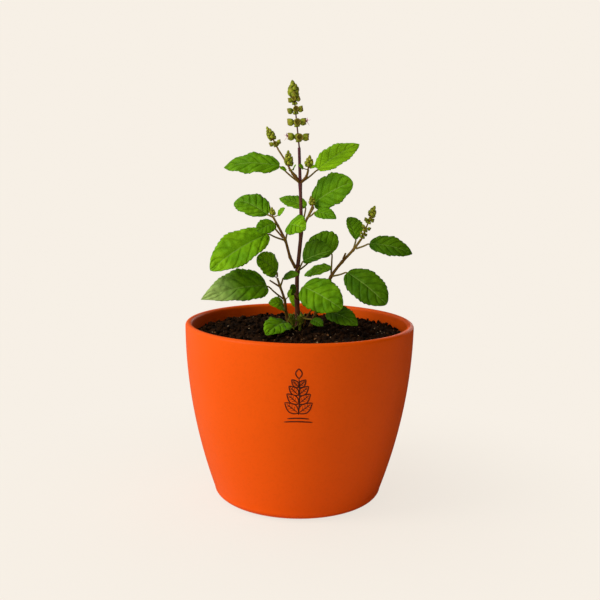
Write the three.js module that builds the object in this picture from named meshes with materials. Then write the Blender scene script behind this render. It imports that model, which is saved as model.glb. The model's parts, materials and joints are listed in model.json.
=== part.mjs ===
// Potted holy basil: a flowering plant in a round satin-orange pot of potting soil.
// Millimetres, +Z up, origin at the middle of the pot's underside.
import * as THREE from "three";

// ---------------------------------------------------------------- pot and soil
const POT_HEIGHT = 118;
const RIM_RADIUS = 75;
const WALL = 4.4;
const FLOOR = 5;
const WALL_BOW = 21.7;
const BASE_FLAT_RADIUS = 43.5;
const BASE_CORNER_HEIGHT = 7;
const DRAIN_RADIUS = 7;
const SOIL_EDGE_HEIGHT = 109;
const SOIL_MIDDLE_HEIGHT = 112;
const ROUND_SIDES = 48;

// ---------------------------------------------------------------------- plant
const GAP = 0.35;
const LIMB_SIDES = 6;
const SPIKE_SIDES = 8;
const PETIOLE_RADIUS = 0.6;
const BLADE_HALF_THICKNESS = 0.5;
const BLADE_FOLD = 0.14;
const BLADE_STATIONS = [0.06, 0.2, 0.38, 0.58, 0.78, 0.93];
const UP = new THREE.Vector3(0, 0, 1);

const finish = (color, roughness) => new THREE.MeshStandardMaterial({ color, roughness, metalness: 0 });
const LEAF_GREEN = 0x3f8a1e;
const YOUNG_GREEN = 0x6f9a2c;
const STEM_PURPLE = 0x6a4436;
const CALYX_OLIVE = 0x6f7226;

const plant = new THREE.Group();
const stems = new Map();

function addPiece(name, geometry, color, roughness) {
  const mesh = new THREE.Mesh(geometry, finish(color, roughness));
  mesh.name = name;
  plant.add(mesh);
}

const vec = (point) => new THREE.Vector3(...point);

// ------------------------------------------------------------------- pot body
/** Outer radius of the gently bowed wall at a height. */
function outerRadius(z) {
  return RIM_RADIUS - WALL_BOW * (1 - z / POT_HEIGHT) ** 2;
}

/** Quarter ellipse from a flat bottom at (flatRadius, z) up to the wall at (wallRadius, z + height). */
function cornerCurve(flatRadius, wallRadius, z, height) {
  const corner = new THREE.EllipseCurve(flatRadius, z + height, wallRadius - flatRadius, height, -Math.PI / 2, 0);
  return corner.getPoints(4);
}

/** Points up the wall between two heights, moved inward by inset. */
function wallLine(fromZ, toZ, inset) {
  const steps = 6;
  return Array.from({ length: steps + 1 }, (_, i) => {
    const z = fromZ + ((toZ - fromZ) * i) / steps;
    return new THREE.Vector2(outerRadius(z) - inset, z);
  });
}

/** Solid of revolution about +Z from a profile of (radius, height) points. */
function turned(profile) {
  return new THREE.LatheGeometry(profile, ROUND_SIDES).rotateX(Math.PI / 2);
}

function makePot() {
  const lipZ = POT_HEIGHT - WALL / 2;
  const cornerTop = FLOOR + BASE_CORNER_HEIGHT;
  const lip = new THREE.EllipseCurve(outerRadius(lipZ) - WALL / 2, lipZ, WALL / 2, WALL / 2, 0, Math.PI);
  const insideCorner = cornerCurve(BASE_FLAT_RADIUS, outerRadius(cornerTop) - WALL, FLOOR, BASE_CORNER_HEIGHT);
  const profile = [
    new THREE.Vector2(DRAIN_RADIUS, 0),
    ...cornerCurve(BASE_FLAT_RADIUS, outerRadius(BASE_CORNER_HEIGHT), 0, BASE_CORNER_HEIGHT),
    ...wallLine(BASE_CORNER_HEIGHT, lipZ, 0).slice(1, -1),
    ...lip.getPoints(6),
    ...wallLine(lipZ, cornerTop, WALL).slice(1, -1),
    ...insideCorner.reverse(),
    new THREE.Vector2(DRAIN_RADIUS, FLOOR),
    new THREE.Vector2(DRAIN_RADIUS, 0),
  ];
  addPiece("pot", turned(profile), 0xe2551c, 0.42);
}

/** Height of the mounded soil at a distance from the pot's axis. */
function soilHeight(radius) {
  const edge = outerRadius(SOIL_EDGE_HEIGHT) - WALL - GAP;
  return SOIL_MIDDLE_HEIGHT - (SOIL_MIDDLE_HEIGHT - SOIL_EDGE_HEIGHT) * (radius / edge) ** 2;
}

function makeSoil() {
  const bottom = FLOOR + GAP;
  const cornerTop = bottom + BASE_CORNER_HEIGHT;
  const edge = outerRadius(SOIL_EDGE_HEIGHT) - WALL - GAP;
  const mound = [0.75, 0.5, 0.25, 0].map((part) => new THREE.Vector2(part * edge, soilHeight(part * edge)));
  const profile = [
    new THREE.Vector2(0, bottom),
    ...cornerCurve(BASE_FLAT_RADIUS - GAP, outerRadius(cornerTop) - WALL - GAP, bottom, BASE_CORNER_HEIGHT),
    ...wallLine(cornerTop, SOIL_EDGE_HEIGHT, WALL + GAP).slice(1),
    ...mound,
  ];
  addPiece("soil", turned(profile), 0x2b1d14, 0.95);
}

// ------------------------------------------------------- skins round a centre line
/**
 * Closed skin round a centre line: a sphere's poles become the two ends, and its rows the rings.
 * Each ring gives its centre, its two half axes and how far its sides are raised along the second.
 */
function skin(start, rings, end, sides) {
  const geometry = new THREE.SphereGeometry(1, sides, rings.length + 1);
  const place = geometry.attributes.position;
  for (let row = 0; row <= rings.length + 1; row += 1) {
    for (let side = 0; side <= sides; side += 1) {
      const point = new THREE.Vector3();
      if (row === 0) point.copy(start);
      else if (row > rings.length) point.copy(end);
      else {
        const { centre, across, through, raise = 0 } = rings[row - 1];
        const angle = (2 * Math.PI * side) / sides;
        const lift = Math.sin(angle) + raise * Math.abs(Math.cos(angle));
        point.copy(centre).addScaledVector(across, Math.cos(angle)).addScaledVector(through, lift);
      }
      place.setXYZ(row * (sides + 1) + side, point.x, point.y, point.z);
    }
  }
  return geometry;
}

/** Two unit vectors square to a direction, the first as level as it can be. */
function squareTo(direction) {
  const across = new THREE.Vector3().crossVectors(direction, UP);
  if (across.lengthSq() < 0.01) across.set(1, 0, 0);
  across.normalize();
  const through = new THREE.Vector3().crossVectors(across, direction).normalize();
  return { across, through };
}

/** Ring of a round limb. */
function roundRing(curve, t, radius, axes) {
  const across = axes.across.clone().multiplyScalar(radius);
  const through = axes.through.clone().multiplyScalar(radius);
  return { centre: curve.getPoint(t), across, through };
}

/** Where a limb that heads for a target can start, clear of the stem that carries it. */
function startClearOf(stemName, node, target, radius) {
  const stem = stems.get(stemName);
  const t = node / (stem.nodes.length - 1);
  const centre = stem.nodes[node].clone();
  const heading = target.clone().sub(centre).normalize();
  const cosine = Math.abs(heading.dot(stem.curve.getTangent(t)));
  const sine = Math.sqrt(1 - cosine ** 2);
  const stemRadius = THREE.MathUtils.lerp(stem.radii[0], stem.radii[1], t);
  return centre.addScaledVector(heading, (stemRadius + GAP + radius * cosine) / sine);
}

// ---------------------------------------------------------------------- stems
/** A stem through its nodes. It rises from the soil, or from a node of the stem that carries it. */
function makeStem(name, nodes, radii, carrier = null, color = STEM_PURPLE) {
  const points = nodes.map(vec);
  if (carrier) points.unshift(startClearOf(carrier.stem, carrier.node, points[0], radii[0]));
  else {
    const slant = points[1].clone().sub(points[0]).normalize();
    const dip = radii[0] * Math.hypot(slant.x, slant.y);
    points[0].z = soilHeight(Math.hypot(points[0].x, points[0].y)) + GAP + dip;
  }
  const curve = new THREE.CatmullRomCurve3(points, false, "centripetal");
  const steps = 2 * (points.length - 1);
  const axes = squareTo(points.at(-1).clone().sub(points[0]).normalize());
  const rings = Array.from({ length: steps + 1 }, (_, i) => {
    const radius = THREE.MathUtils.lerp(radii[0], radii[1], i / steps);
    return roundRing(curve, i / steps, radius, axes);
  });
  addPiece(name, skin(curve.getPoint(0), rings, curve.getPoint(1), LIMB_SIDES), color, 0.6);
  stems.set(name, { nodes: points, curve, radii });
}

// --------------------------------------------------------------------- leaves
/** Half width of an egg-shaped blade, as a part of its widest, from base 0 to tip 1. */
const bladeOutline = (part) => Math.sin(Math.PI * part ** 0.8) ** 0.85;

/**
 * A leaf: a stalk from a stem's node to the blade's base, and a blade from base to tip.
 * lean is how far the upper side turns from straight up toward the front, and arch how high
 * the middle of the blade stands over the line from base to tip.
 */
function makeLeaf(name, stem, node, base, tip, { width, lean = 45, arch = 3, color = LEAF_GREEN }) {
  const foot = vec(base);
  const point = vec(tip);
  const start = startClearOf(stem, node, foot, PETIOLE_RADIUS);
  const heading = point.clone().sub(foot).normalize();
  const leanAngle = THREE.MathUtils.degToRad(lean);
  const face = new THREE.Vector3(0, -Math.sin(leanAngle), Math.cos(leanAngle));
  const across = new THREE.Vector3().crossVectors(heading, face).normalize();
  const through = new THREE.Vector3().crossVectors(across, heading).normalize();
  const middle = foot.clone().lerp(point, 0.5).addScaledVector(through, 2 * arch);
  const blade = new THREE.QuadraticBezierCurve3(foot, middle, point);
  const stalk = new THREE.LineCurve3(start, foot);
  const stalkRings = [0, 0.85].map((t) => roundRing(stalk, t, PETIOLE_RADIUS, { across, through }));
  const bladeRings = BLADE_STATIONS.map((part) => {
    const half = Math.max((width / 2) * bladeOutline(part), PETIOLE_RADIUS);
    return {
      centre: blade.getPoint(part),
      across: across.clone().multiplyScalar(half),
      through: through.clone().multiplyScalar(BLADE_HALF_THICKNESS),
      raise: (BLADE_FOLD * half) / BLADE_HALF_THICKNESS,
    };
  });
  addPiece(name, skin(start, [...stalkRings, ...bladeRings], point, LIMB_SIDES), color, 0.5);
}

// -------------------------------------------------------------- flower spikes
/**
 * A flower spike along a line: whorls of seed cups round a thin stalk, then a dense cone of buds.
 * Each whorl is its height along the spike as a part of its length, and its radius.
 */
function makeSpike(name, base, tip, whorls, cone, color = CALYX_OLIVE) {
  const line = new THREE.LineCurve3(vec(base), vec(tip));
  const axes = squareTo(line.getTangent(0));
  const length = line.getLength();
  const stalkRadius = 0.6;
  const bulge = [[-1, stalkRadius], [-0.45, 0.85], [0.25, 1], [0.8, 0.6], [1, stalkRadius]];
  const stations = [[0, stalkRadius]];
  for (const [part, radius] of whorls) {
    const reach = (0.62 * radius) / length;
    for (const [step, share] of bulge) {
      stations.push([part + step * reach, Math.abs(step) === 1 ? share : share * radius]);
    }
  }
  for (const [step, share] of [[0, 0.75], [0.25, 1], [0.55, 0.8], [0.85, 0.4]]) {
    stations.push([cone.from + step * (1 - cone.from), share * cone.radius]);
  }
  const rings = stations.map(([t, radius]) => roundRing(line, t, radius, axes));
  addPiece(name, skin(line.getPoint(0), rings, line.getPoint(1), SPIKE_SIDES), color, 0.65);
}

// ------------------------------------------------------------------- assembly
makePot();
makeSoil();

makeStem("main_stem",
  [[-1, 8, 112], [-2, 7, 131], [-2, 6, 150], [0, 4, 176], [-1, 2, 208], [-2, 1, 231]], [1.75, 1]);
makeStem("right_branch",
  [[7, 4, 112], [12, 2, 127], [20, -2, 148], [27, -3, 158], [34, -4, 166], [39, -3, 173]], [1.2, 0.8]);
makeStem("lower_left_branch",
  [[-7, 3, 112], [-9, 1, 123], [-10, -2, 132], [-13, -4, 141], [-15, -5, 147]], [1.1, 0.7]);
makeStem("middle_left_branch",
  [[-7, 3, 160], [-10, -1, 171], [-15, -4, 181], [-18, -5.5, 186.5]], [1.1, 0.7], { stem: "main_stem", node: 2 });
makeStem("upper_right_shoot",
  [[4, 0, 186], [8, -3, 193]], [0.9, 0.6], { stem: "main_stem", node: 3 });
makeStem("left_flower_stalk",
  [[-6, 6, 214], [-10, 9, 221], [-16, 12, 230]], [0.8, 0.6], { stem: "main_stem", node: 4 });
makeStem("left_short_flower_stalk",
  [[-4, -3, 213], [-8, -5, 217]], [0.8, 0.7], { stem: "main_stem", node: 4 });
makeStem("right_flower_stalk",
  [[3, -3, 213], [4, -6, 217]], [0.8, 0.7], { stem: "main_stem", node: 4 });
makeStem("cut_stub_left", [[-17, -1, 179]], [0.6, 0.6], { stem: "middle_left_branch", node: 2 });
makeStem("cut_stub_lower_left", [[-20, -5, 145.5]], [0.6, 0.5], { stem: "lower_left_branch", node: 3 });
makeStem("side_stub_right", [[29, -6, 164]], [0.7, 0.6], { stem: "right_branch", node: 3 });
makeStem("base_shoot_front", [[0, -1, 112], [1, -4, 121]], [0.9, 0.6], null, YOUNG_GREEN);
makeStem("base_shoot_left", [[-4, -3, 112], [-6, -4, 122]], [0.8, 0.5], null, YOUNG_GREEN);
makeStem("base_twig", [[3, 8, 112], [4, 8, 118], [8, 9, 124]], [0.8, 0.5]);

makeLeaf("leaf_top_left", "main_stem", 4, [-14, 1, 219], [-51, 8, 217.5], { width: 20, arch: 4 });
makeLeaf("leaf_top_right", "main_stem", 4, [10, 6, 217], [38, 22, 234], { width: 17 });
makeLeaf("leaf_upper_right_large", "upper_right_shoot", 1, [7.5, 2, 195], [32.5, -8, 210], { width: 23, lean: 60 });
makeLeaf("leaf_upper_right_small", "upper_right_shoot", 1, [9, -12.5, 191], [22, -23, 187.5], { width: 10, lean: 55, arch: 1.5 });
makeLeaf("leaf_upper_left", "main_stem", 3, [3, 9, 192.5], [-15, 22, 197.5], { width: 12, arch: 1.5 });
makeLeaf("leaf_middle_left_round", "middle_left_branch", 4, [-21.5, -4, 188], [-43, 12, 196.5], { width: 20, arch: 2.5 });
makeLeaf("leaf_middle_left_tiny", "middle_left_branch", 4, [-15, -8, 188], [-10.5, -11, 193], { width: 5, arch: 0.5 });
makeLeaf("leaf_middle_left_small", "middle_left_branch", 3, [-17, -8, 183], [-28, -15, 178], { width: 12, lean: 55, arch: 1 });
makeLeaf("leaf_middle_left_large", "middle_left_branch", 2, [-21, -7, 176], [-57, -22, 153.5],
  { width: 26, lean: 50, arch: 4 });
makeLeaf("leaf_middle_front", "middle_left_branch", 2, [-8, -10, 182.5], [3, -19, 180], { width: 17, lean: 60, arch: 2 });
makeLeaf("leaf_stem_small", "main_stem", 2, [1.5, -6, 158.5], [19.5, -14, 166.5], { width: 18, lean: 60, arch: 1.5 });
makeLeaf("leaf_right_upright", "right_branch", 2, [20.5, -2, 163], [6, 7, 172.5], { width: 21, lean: 60, arch: 2 });
makeLeaf("leaf_right_back", "right_branch", 2, [20.5, 6.5, 152.5], [2.5, 15, 146.5], { width: 13, lean: 32, arch: 1.5 });
makeLeaf("leaf_right_dark", "right_branch", 2, [30, -8, 152], [55, -22, 133.5], { width: 23, lean: 55 });
makeLeaf("leaf_far_right", "right_branch", 4, [44, -6, 170.5], [72, -8, 164.5], { width: 16, lean: 50 });
makeLeaf("leaf_right_shoot", "right_branch", 4, [36, 2, 172], [31, 13, 186], { width: 12, lean: 70, arch: 1 });
makeLeaf("leaf_lower_left_round", "lower_left_branch", 4, [-15, -8, 151], [-28, -14, 161.5], { width: 17, arch: 2 });
makeLeaf("leaf_lower_left_small", "lower_left_branch", 3, [-11, -9, 148], [-1, -15, 151], { width: 8, arch: 1 });
makeLeaf("leaf_lower_left_large", "lower_left_branch", 2, [-21, -9, 142.5], [-62.5, -26, 135.5],
  { width: 25, lean: 50, arch: 4.5 });
makeLeaf("leaf_lower_left_tiny", "lower_left_branch", 4, [-17, -7, 148.5], [-20, -9, 148.5], { width: 3, arch: 0.3 });
makeLeaf("leaf_base_left", "lower_left_branch", 1, [-10, -11, 128], [-20, -20, 133], { width: 11, lean: 50 });
makeLeaf("leaf_base_curled", "lower_left_branch", 2, [-8, -7, 135], [-5, -11, 141], { width: 4, arch: 0.5 });
makeLeaf("leaf_base_pale", "base_twig", 1, [-2, 13, 125], [-6, 17, 136], { width: 7, lean: 70, arch: 1 });
makeLeaf("leaf_base_front", "base_shoot_left", 1, [-8, -12, 119], [-21, -34, 115], { width: 17, lean: 40 });
makeLeaf("leaf_base_right_small", "base_shoot_front", 1, [8, -10, 121], [15, -18, 118], { width: 8, arch: 1 });
makeLeaf("leaf_base_back", "base_twig", 2, [11, 14, 126], [16, 22, 131], { width: 9, lean: 60, arch: 1 });
makeLeaf("leaf_front_large", "main_stem", 1, [1.5, -13, 143], [26.5, -28, 131], { width: 25, lean: 60, arch: 3 });
makeLeaf("leaf_front_lobe", "main_stem", 1, [-4, -2, 136], [-6, -7, 143], { width: 7, arch: 0.5 });
makeLeaf("leaf_base_right", "right_branch", 1, [18, -8, 126], [37, -24, 120], { width: 15, lean: 50 });

makeLeaf("leaf_back_upper", "main_stem", 2, [7, 14, 157], [15, 38, 163], { width: 15, lean: 10 });
makeLeaf("leaf_back_lower", "main_stem", 1, [5, 17, 132], [17, 40, 133], { width: 16, lean: 5 });

makeLeaf("bract_top_left_outer", "left_short_flower_stalk", 2, [-10, -6, 217], [-14, -8, 218], { width: 3, arch: 0.3 });
makeLeaf("bract_top_left_inner", "left_short_flower_stalk", 2, [-6, -7, 217], [-4, -11, 220], { width: 3, arch: 0.3 });
makeLeaf("bract_top_right_inner", "right_flower_stalk", 2, [1, -9, 218], [-2, -11, 220], { width: 3, arch: 0.3 });
makeLeaf("bract_top_right_outer", "right_flower_stalk", 2, [6, -9, 219], [9, -12, 219], { width: 3, arch: 0.3 });

const wholeCone = { from: 0.12, radius: 3.2 };
makeSpike("flower_spike_main", [-2, 1, 231.6], [-7, -1, 274],
  [[0.12, 7], [0.345, 6.2], [0.53, 5.2], [0.67, 4.2]], { from: 0.74, radius: 4 });
makeSpike("flower_spike_left", [-16.4, 12.4, 231], [-24, 16, 245], [[0.18, 4]], { from: 0.38, radius: 3.1 });
makeSpike("flower_spike_right", [39.6, -2.8, 174], [48, 0, 195],
  [[0.08, 2.6], [0.28, 3.2], [0.53, 3.3]], { from: 0.66, radius: 3 });
makeSpike("flower_spike_young_left", [-8.3, -5.2, 218.6], [-9, -5, 230], [], wholeCone);
makeSpike("flower_spike_young_right", [4, -6.4, 218], [5, -7, 227], [], wholeCone);
makeSpike("flower_bud_upper_right", [7.4, -3.2, 194], [5.8, -3, 201], [], { from: 0.12, radius: 2.5 }, 0x84602e);
makeSpike("flower_bud_middle_left", [-18.4, -5.6, 187.6], [-19, -5.6, 193.5], [], { from: 0.12, radius: 2.2 }, 0x8a4a2e);

export default plant;
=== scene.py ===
"""Potted holy basil: the looks of the pot, its soil and the flowering plant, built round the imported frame."""

from __future__ import annotations

import json
import logging
import math
import random
from collections import defaultdict
from dataclasses import dataclass, field
from enum import Enum

import bpy
from mathutils import Matrix, Vector, noise

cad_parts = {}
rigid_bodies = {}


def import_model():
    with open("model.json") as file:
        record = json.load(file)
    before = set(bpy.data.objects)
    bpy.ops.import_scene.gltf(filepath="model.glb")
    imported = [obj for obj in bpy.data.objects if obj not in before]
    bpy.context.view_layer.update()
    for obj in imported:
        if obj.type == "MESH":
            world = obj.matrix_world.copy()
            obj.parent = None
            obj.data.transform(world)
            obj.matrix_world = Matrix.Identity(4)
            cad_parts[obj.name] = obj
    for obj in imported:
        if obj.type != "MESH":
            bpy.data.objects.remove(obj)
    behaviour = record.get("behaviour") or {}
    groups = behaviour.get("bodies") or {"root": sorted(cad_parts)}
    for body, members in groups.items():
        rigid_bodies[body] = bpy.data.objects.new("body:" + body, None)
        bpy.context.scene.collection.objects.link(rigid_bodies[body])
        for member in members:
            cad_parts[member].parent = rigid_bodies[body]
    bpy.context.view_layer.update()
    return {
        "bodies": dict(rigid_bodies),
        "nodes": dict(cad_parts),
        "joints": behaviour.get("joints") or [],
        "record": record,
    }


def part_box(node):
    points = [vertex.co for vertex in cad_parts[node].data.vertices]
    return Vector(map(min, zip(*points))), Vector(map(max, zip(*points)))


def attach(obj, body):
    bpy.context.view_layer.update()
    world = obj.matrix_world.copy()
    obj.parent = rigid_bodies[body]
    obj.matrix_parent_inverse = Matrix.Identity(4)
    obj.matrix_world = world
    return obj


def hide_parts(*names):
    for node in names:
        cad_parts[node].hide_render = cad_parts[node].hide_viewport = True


LOG = logging.getLogger("holy_basil")
MM = 0.001
BODY = "root"
PLACE_MAP = "place"
UP = Vector((0, 0, 1))
GOLDEN_TURN = math.radians(137.5)
Colour = tuple[float, float, float]


def smooth_step(value: float) -> float:
    """Ease a value from 0 to 1, flat at both ends."""
    held = min(max(value, 0.0), 1.0)
    return held * held * (3 - 2 * held)


def through_points(points: list[Vector], part: float) -> Vector:
    """Find a point on the smooth curve through evenly counted points.

    Args:
        points: The points that the curve passes through.
        part: How far along the list, from 0 to 1.

    Returns:
        The point on the curve.
    """
    last = len(points) - 1
    place = min(max(part, 0.0), 1.0) * last
    i = min(int(place), last - 1)
    t = place - i
    before = points[i - 1] if i > 0 else 2 * points[0] - points[1]
    after = points[i + 2] if i + 2 <= last else 2 * points[last] - points[last - 1]
    a, b = points[i], points[i + 1]
    bend = 2 * before - 5 * a + 4 * b - after
    turn = 3 * (a - b) + after - before
    return a + 0.5 * t * ((b - before) + t * (bend + t * turn))


# ------------------------------------------------------------------ shader tools
class Wiring:
    """Adds nodes to one node tree and joins them."""

    def __init__(self, tree: bpy.types.NodeTree) -> None:
        """Keep the tree that the nodes go in."""
        self.tree = tree

    def node(self, kind: str, **settings: object) -> bpy.types.Node:
        """Add a node.

        Args:
            kind: The node's type, without the ShaderNode in front.
            **settings: Values of the node's own properties.

        Returns:
            The new node.
        """
        made = self.tree.nodes.new("ShaderNode" + kind)
        for name, value in settings.items():
            setattr(made, name, value)
        return made

    def feed(self, socket: bpy.types.NodeSocket, source: object) -> None:
        """Join a socket to an output, or set it to a plain value."""
        if isinstance(source, bpy.types.NodeSocket):
            self.tree.links.new(source, socket)
        else:
            socket.default_value = source

    def math(self, operation: str, *sources: object, clamp: bool = False) -> bpy.types.NodeSocket:
        """Work out one number from others and return its output socket."""
        made = self.node("Math", operation=operation, use_clamp=clamp)
        for socket, source in zip(made.inputs, sources):
            self.feed(socket, source)
        return made.outputs[0]

    def spread(self, value: object, low: float, high: float, to_low: float = 0, to_high: float = 1) -> object:
        """Move a range of values smoothly onto another range and return the output socket."""
        made = self.node("MapRange", interpolation_type="SMOOTHSTEP")
        for socket, source in zip(made.inputs, (value, low, high, to_low, to_high)):
            self.feed(socket, source)
        return made.outputs[0]

    def blend(self, factor: object, first: object, second: object, how: str = "MIX") -> bpy.types.NodeSocket:
        """Blend two colours and return the output socket."""
        made = self.node("Mix", data_type="RGBA", blend_type=how)
        self.feed(made.inputs["Factor"], factor)
        for socket, source in ((made.inputs[6], first), (made.inputs[7], second)):
            colour = (*source, 1.0) if isinstance(source, tuple) and len(source) == 3 else source
            self.feed(socket, colour)
        return made.outputs[2]

    def noise(self, scale: object, detail: float = 4, rough: float = 0.5, at: object = None) -> object:
        """Read a noise pattern in the piece's own space and return its value socket."""
        made = self.node("TexNoise")
        self.feed(made.inputs["Vector"], at or self.node("TexCoord").outputs["Object"])
        for name, value in (("Scale", scale), ("Detail", detail), ("Roughness", rough)):
            self.feed(made.inputs[name], value)
        return made.outputs["Fac"]


class SharedEffects:
    """The shader node groups that several finishes use, each built once."""

    def __init__(self) -> None:
        """Build every group."""
        self.mottle = self._mottle()
        self.veins = self._veins()
        self.streaks = self._streaks()

    @staticmethod
    def _start(name: str, inputs: dict[str, float], outputs: tuple[str, ...]) -> tuple:
        """Open a group with float inputs and outputs.

        Args:
            name: The group's name.
            inputs: Each input's name and starting value.
            outputs: The outputs' names.

        Returns:
            The group, its wiring, its input node and its output node.
        """
        group = bpy.data.node_groups.new(name, "ShaderNodeTree")
        for label, value in inputs.items():
            socket = group.interface.new_socket(label, in_out="INPUT", socket_type="NodeSocketFloat")
            socket.default_value = value
        for label in outputs:
            group.interface.new_socket(label, in_out="OUTPUT", socket_type="NodeSocketFloat")
        enter = group.nodes.new("NodeGroupInput")
        leave = group.nodes.new("NodeGroupOutput")
        return group, Wiring(group), enter, leave

    def _mottle(self) -> bpy.types.NodeTree:
        """Build soft patches with fine specks: a mask for colour and a height for bumps."""
        inputs = {"Scale": 60.0, "Fine Scale": 900.0, "Contrast": 0.2}
        group, wire, enter, leave = self._start("patch_mottle", inputs, ("Mask", "Height"))
        broad = wire.noise(enter.outputs["Scale"], 5, 0.55)
        fine = wire.noise(enter.outputs["Fine Scale"], 3, 0.6)
        low = wire.math("SUBTRACT", 0.5, enter.outputs["Contrast"])
        high = wire.math("ADD", 0.5, enter.outputs["Contrast"])
        wire.feed(leave.inputs["Mask"], wire.spread(broad, low, high))
        both = wire.math("MULTIPLY_ADD", fine, 0.6, wire.math("MULTIPLY", broad, 0.4))
        wire.feed(leave.inputs["Height"], both)
        return group

    def _veins(self) -> bpy.types.NodeTree:
        """Build a blade's middle rib, its side veins and the puckered net between them."""
        inputs = {"Pairs": LeafVeins.pairs, "Slant": LeafVeins.slant, "Cells": 650.0}
        outputs = ("Rib", "Side Veins", "Net", "Along")
        group, wire, enter, leave = self._start("leaf_veins", inputs, outputs)
        place = wire.node("UVMap", uv_map=PLACE_MAP)
        parts = wire.node("SeparateXYZ")
        wire.feed(parts.inputs[0], place.outputs[0])
        along = parts.outputs[0]
        across = wire.math("MULTIPLY_ADD", parts.outputs[1], 2.0, -1.0)
        reach = wire.math("ABSOLUTE", across)
        side = wire.math("MULTIPLY", wire.math("SIGN", across), LeafVeins.side_shift / 2)
        back = wire.math("MULTIPLY", wire.math("POWER", reach, LeafVeins.curve), enter.outputs["Slant"])
        count = wire.math("MULTIPLY_ADD", wire.math("SUBTRACT", along, back), enter.outputs["Pairs"], side)
        gap = wire.math("ABSOLUTE", wire.math("SUBTRACT", wire.math("FRACT", count), 0.5))
        wire.feed(leave.inputs["Side Veins"], wire.spread(gap, 0.02, 0.16, 1.0, 0.0))
        wire.feed(leave.inputs["Rib"], wire.spread(reach, 0.010, 0.040, 1.0, 0.0))
        cells = wire.node("TexVoronoi", feature="DISTANCE_TO_EDGE")
        wire.feed(cells.inputs["Vector"], wire.node("TexCoord").outputs["Object"])
        wire.feed(cells.inputs["Scale"], enter.outputs["Cells"])
        wire.feed(leave.inputs["Net"], wire.spread(cells.outputs["Distance"], 0.0, 0.25, 1.0, 0.0))
        wire.feed(leave.inputs["Along"], along)
        return group

    def _streaks(self) -> bpy.types.NodeTree:
        """Build long streaks that run up a stem, with fine hair between them."""
        inputs = {"Width": 26.0, "Length": 3.0}
        group, wire, enter, leave = self._start("stem_streaks", inputs, ("Mask", "Height"))
        place = wire.node("UVMap", uv_map=PLACE_MAP)
        parts = wire.node("SeparateXYZ")
        wire.feed(parts.inputs[0], place.outputs[0])
        turn = wire.math("MULTIPLY", parts.outputs[1], 2 * math.pi)
        joined = wire.node("CombineXYZ")
        wire.feed(joined.inputs[0], wire.math("MULTIPLY", parts.outputs[0], enter.outputs["Length"]))
        wire.feed(joined.inputs[1], wire.math("COSINE", turn))
        wire.feed(joined.inputs[2], wire.math("SINE", turn))
        broad = wire.noise(2.2, 4, 0.6, joined.outputs[0])
        fine = wire.noise(enter.outputs["Width"], 3, 0.7, joined.outputs[0])
        wire.feed(leave.inputs["Mask"], wire.spread(broad, 0.36, 0.64))
        wire.feed(leave.inputs["Height"], wire.math("MULTIPLY_ADD", fine, 0.7, broad))
        return group


def place_group(wire: Wiring, group: bpy.types.NodeTree, **values: float) -> bpy.types.Node:
    """Put a shared effect in a material with this material's own values.

    Args:
        wire: The material's wiring.
        group: The effect's node group.
        **values: Input values, with _ for a space in the input's name.

    Returns:
        The group's node.
    """
    made = wire.node("Group", node_tree=group)
    for name, value in values.items():
        wire.feed(made.inputs[name.replace("_", " ")], value)
    return made


# ---------------------------------------------------------------------- finishes
@dataclass(frozen=True)
class Finish:
    """What every finish has: a name, a roughness, how deep its bumps look, in metres, and its gloss."""

    name: str
    rough: float
    bump: float
    gloss: float = 0.15

    def begin(self) -> tuple[bpy.types.Material, Wiring, bpy.types.Node]:
        """Open an empty material with its shader, and return it with its wiring and the shader node."""
        material = bpy.data.materials.new(self.name)
        material.use_nodes = True
        wire = Wiring(material.node_tree)
        shader = next(n for n in material.node_tree.nodes if n.type == "BSDF_PRINCIPLED")
        return material, wire, shader

    def finish_surface(
        self, wire: Wiring, shader: bpy.types.Node, colour: object, height: object, rough: object
    ) -> None:
        """Feed the shader.

        Args:
            wire: The material's wiring.
            shader: The shader node.
            colour: The colour socket.
            height: The socket with the height of the bumps, from 0 to 1.
            rough: The socket with the roughness.
        """
        wire.feed(shader.inputs["Base Color"], colour)
        wire.feed(shader.inputs["Roughness"], rough)
        shader.inputs["Specular IOR Level"].default_value = self.gloss
        bump = wire.node("Bump")
        bump.inputs["Strength"].default_value = 1.0
        bump.inputs["Distance"].default_value = self.bump
        wire.feed(bump.inputs["Height"], height)
        wire.feed(shader.inputs["Normal"], bump.outputs["Normal"])


@dataclass(frozen=True)
class PotFinish(Finish):
    """Satin orange paint, a little uneven, with faint specks."""

    paint: Colour = (0.78, 0.090, 0.0006)
    worn: Colour = (0.70, 0.073, 0.0005)

    def make(self, effects: SharedEffects) -> bpy.types.Material:
        """Build the material from the shared effects."""
        material, wire, shader = self.begin()
        patches = place_group(wire, effects.mottle, Scale=28, Fine_Scale=1400, Contrast=0.3)
        specks = place_group(wire, effects.mottle, Scale=520, Fine_Scale=2600, Contrast=0.08)
        colour = wire.blend(wire.math("MULTIPLY", patches.outputs["Mask"], 0.3), self.paint, self.worn)
        speck = wire.spread(specks.outputs["Mask"], 0.9, 1.0, 0.0, 0.05)
        colour = wire.blend(speck, colour, (0.35, 0.030, 0.002))
        rough = wire.spread(patches.outputs["Height"], 0.3, 0.7, self.rough - 0.06, self.rough + 0.08)
        self.finish_surface(wire, shader, colour, patches.outputs["Height"], rough)
        return material


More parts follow.
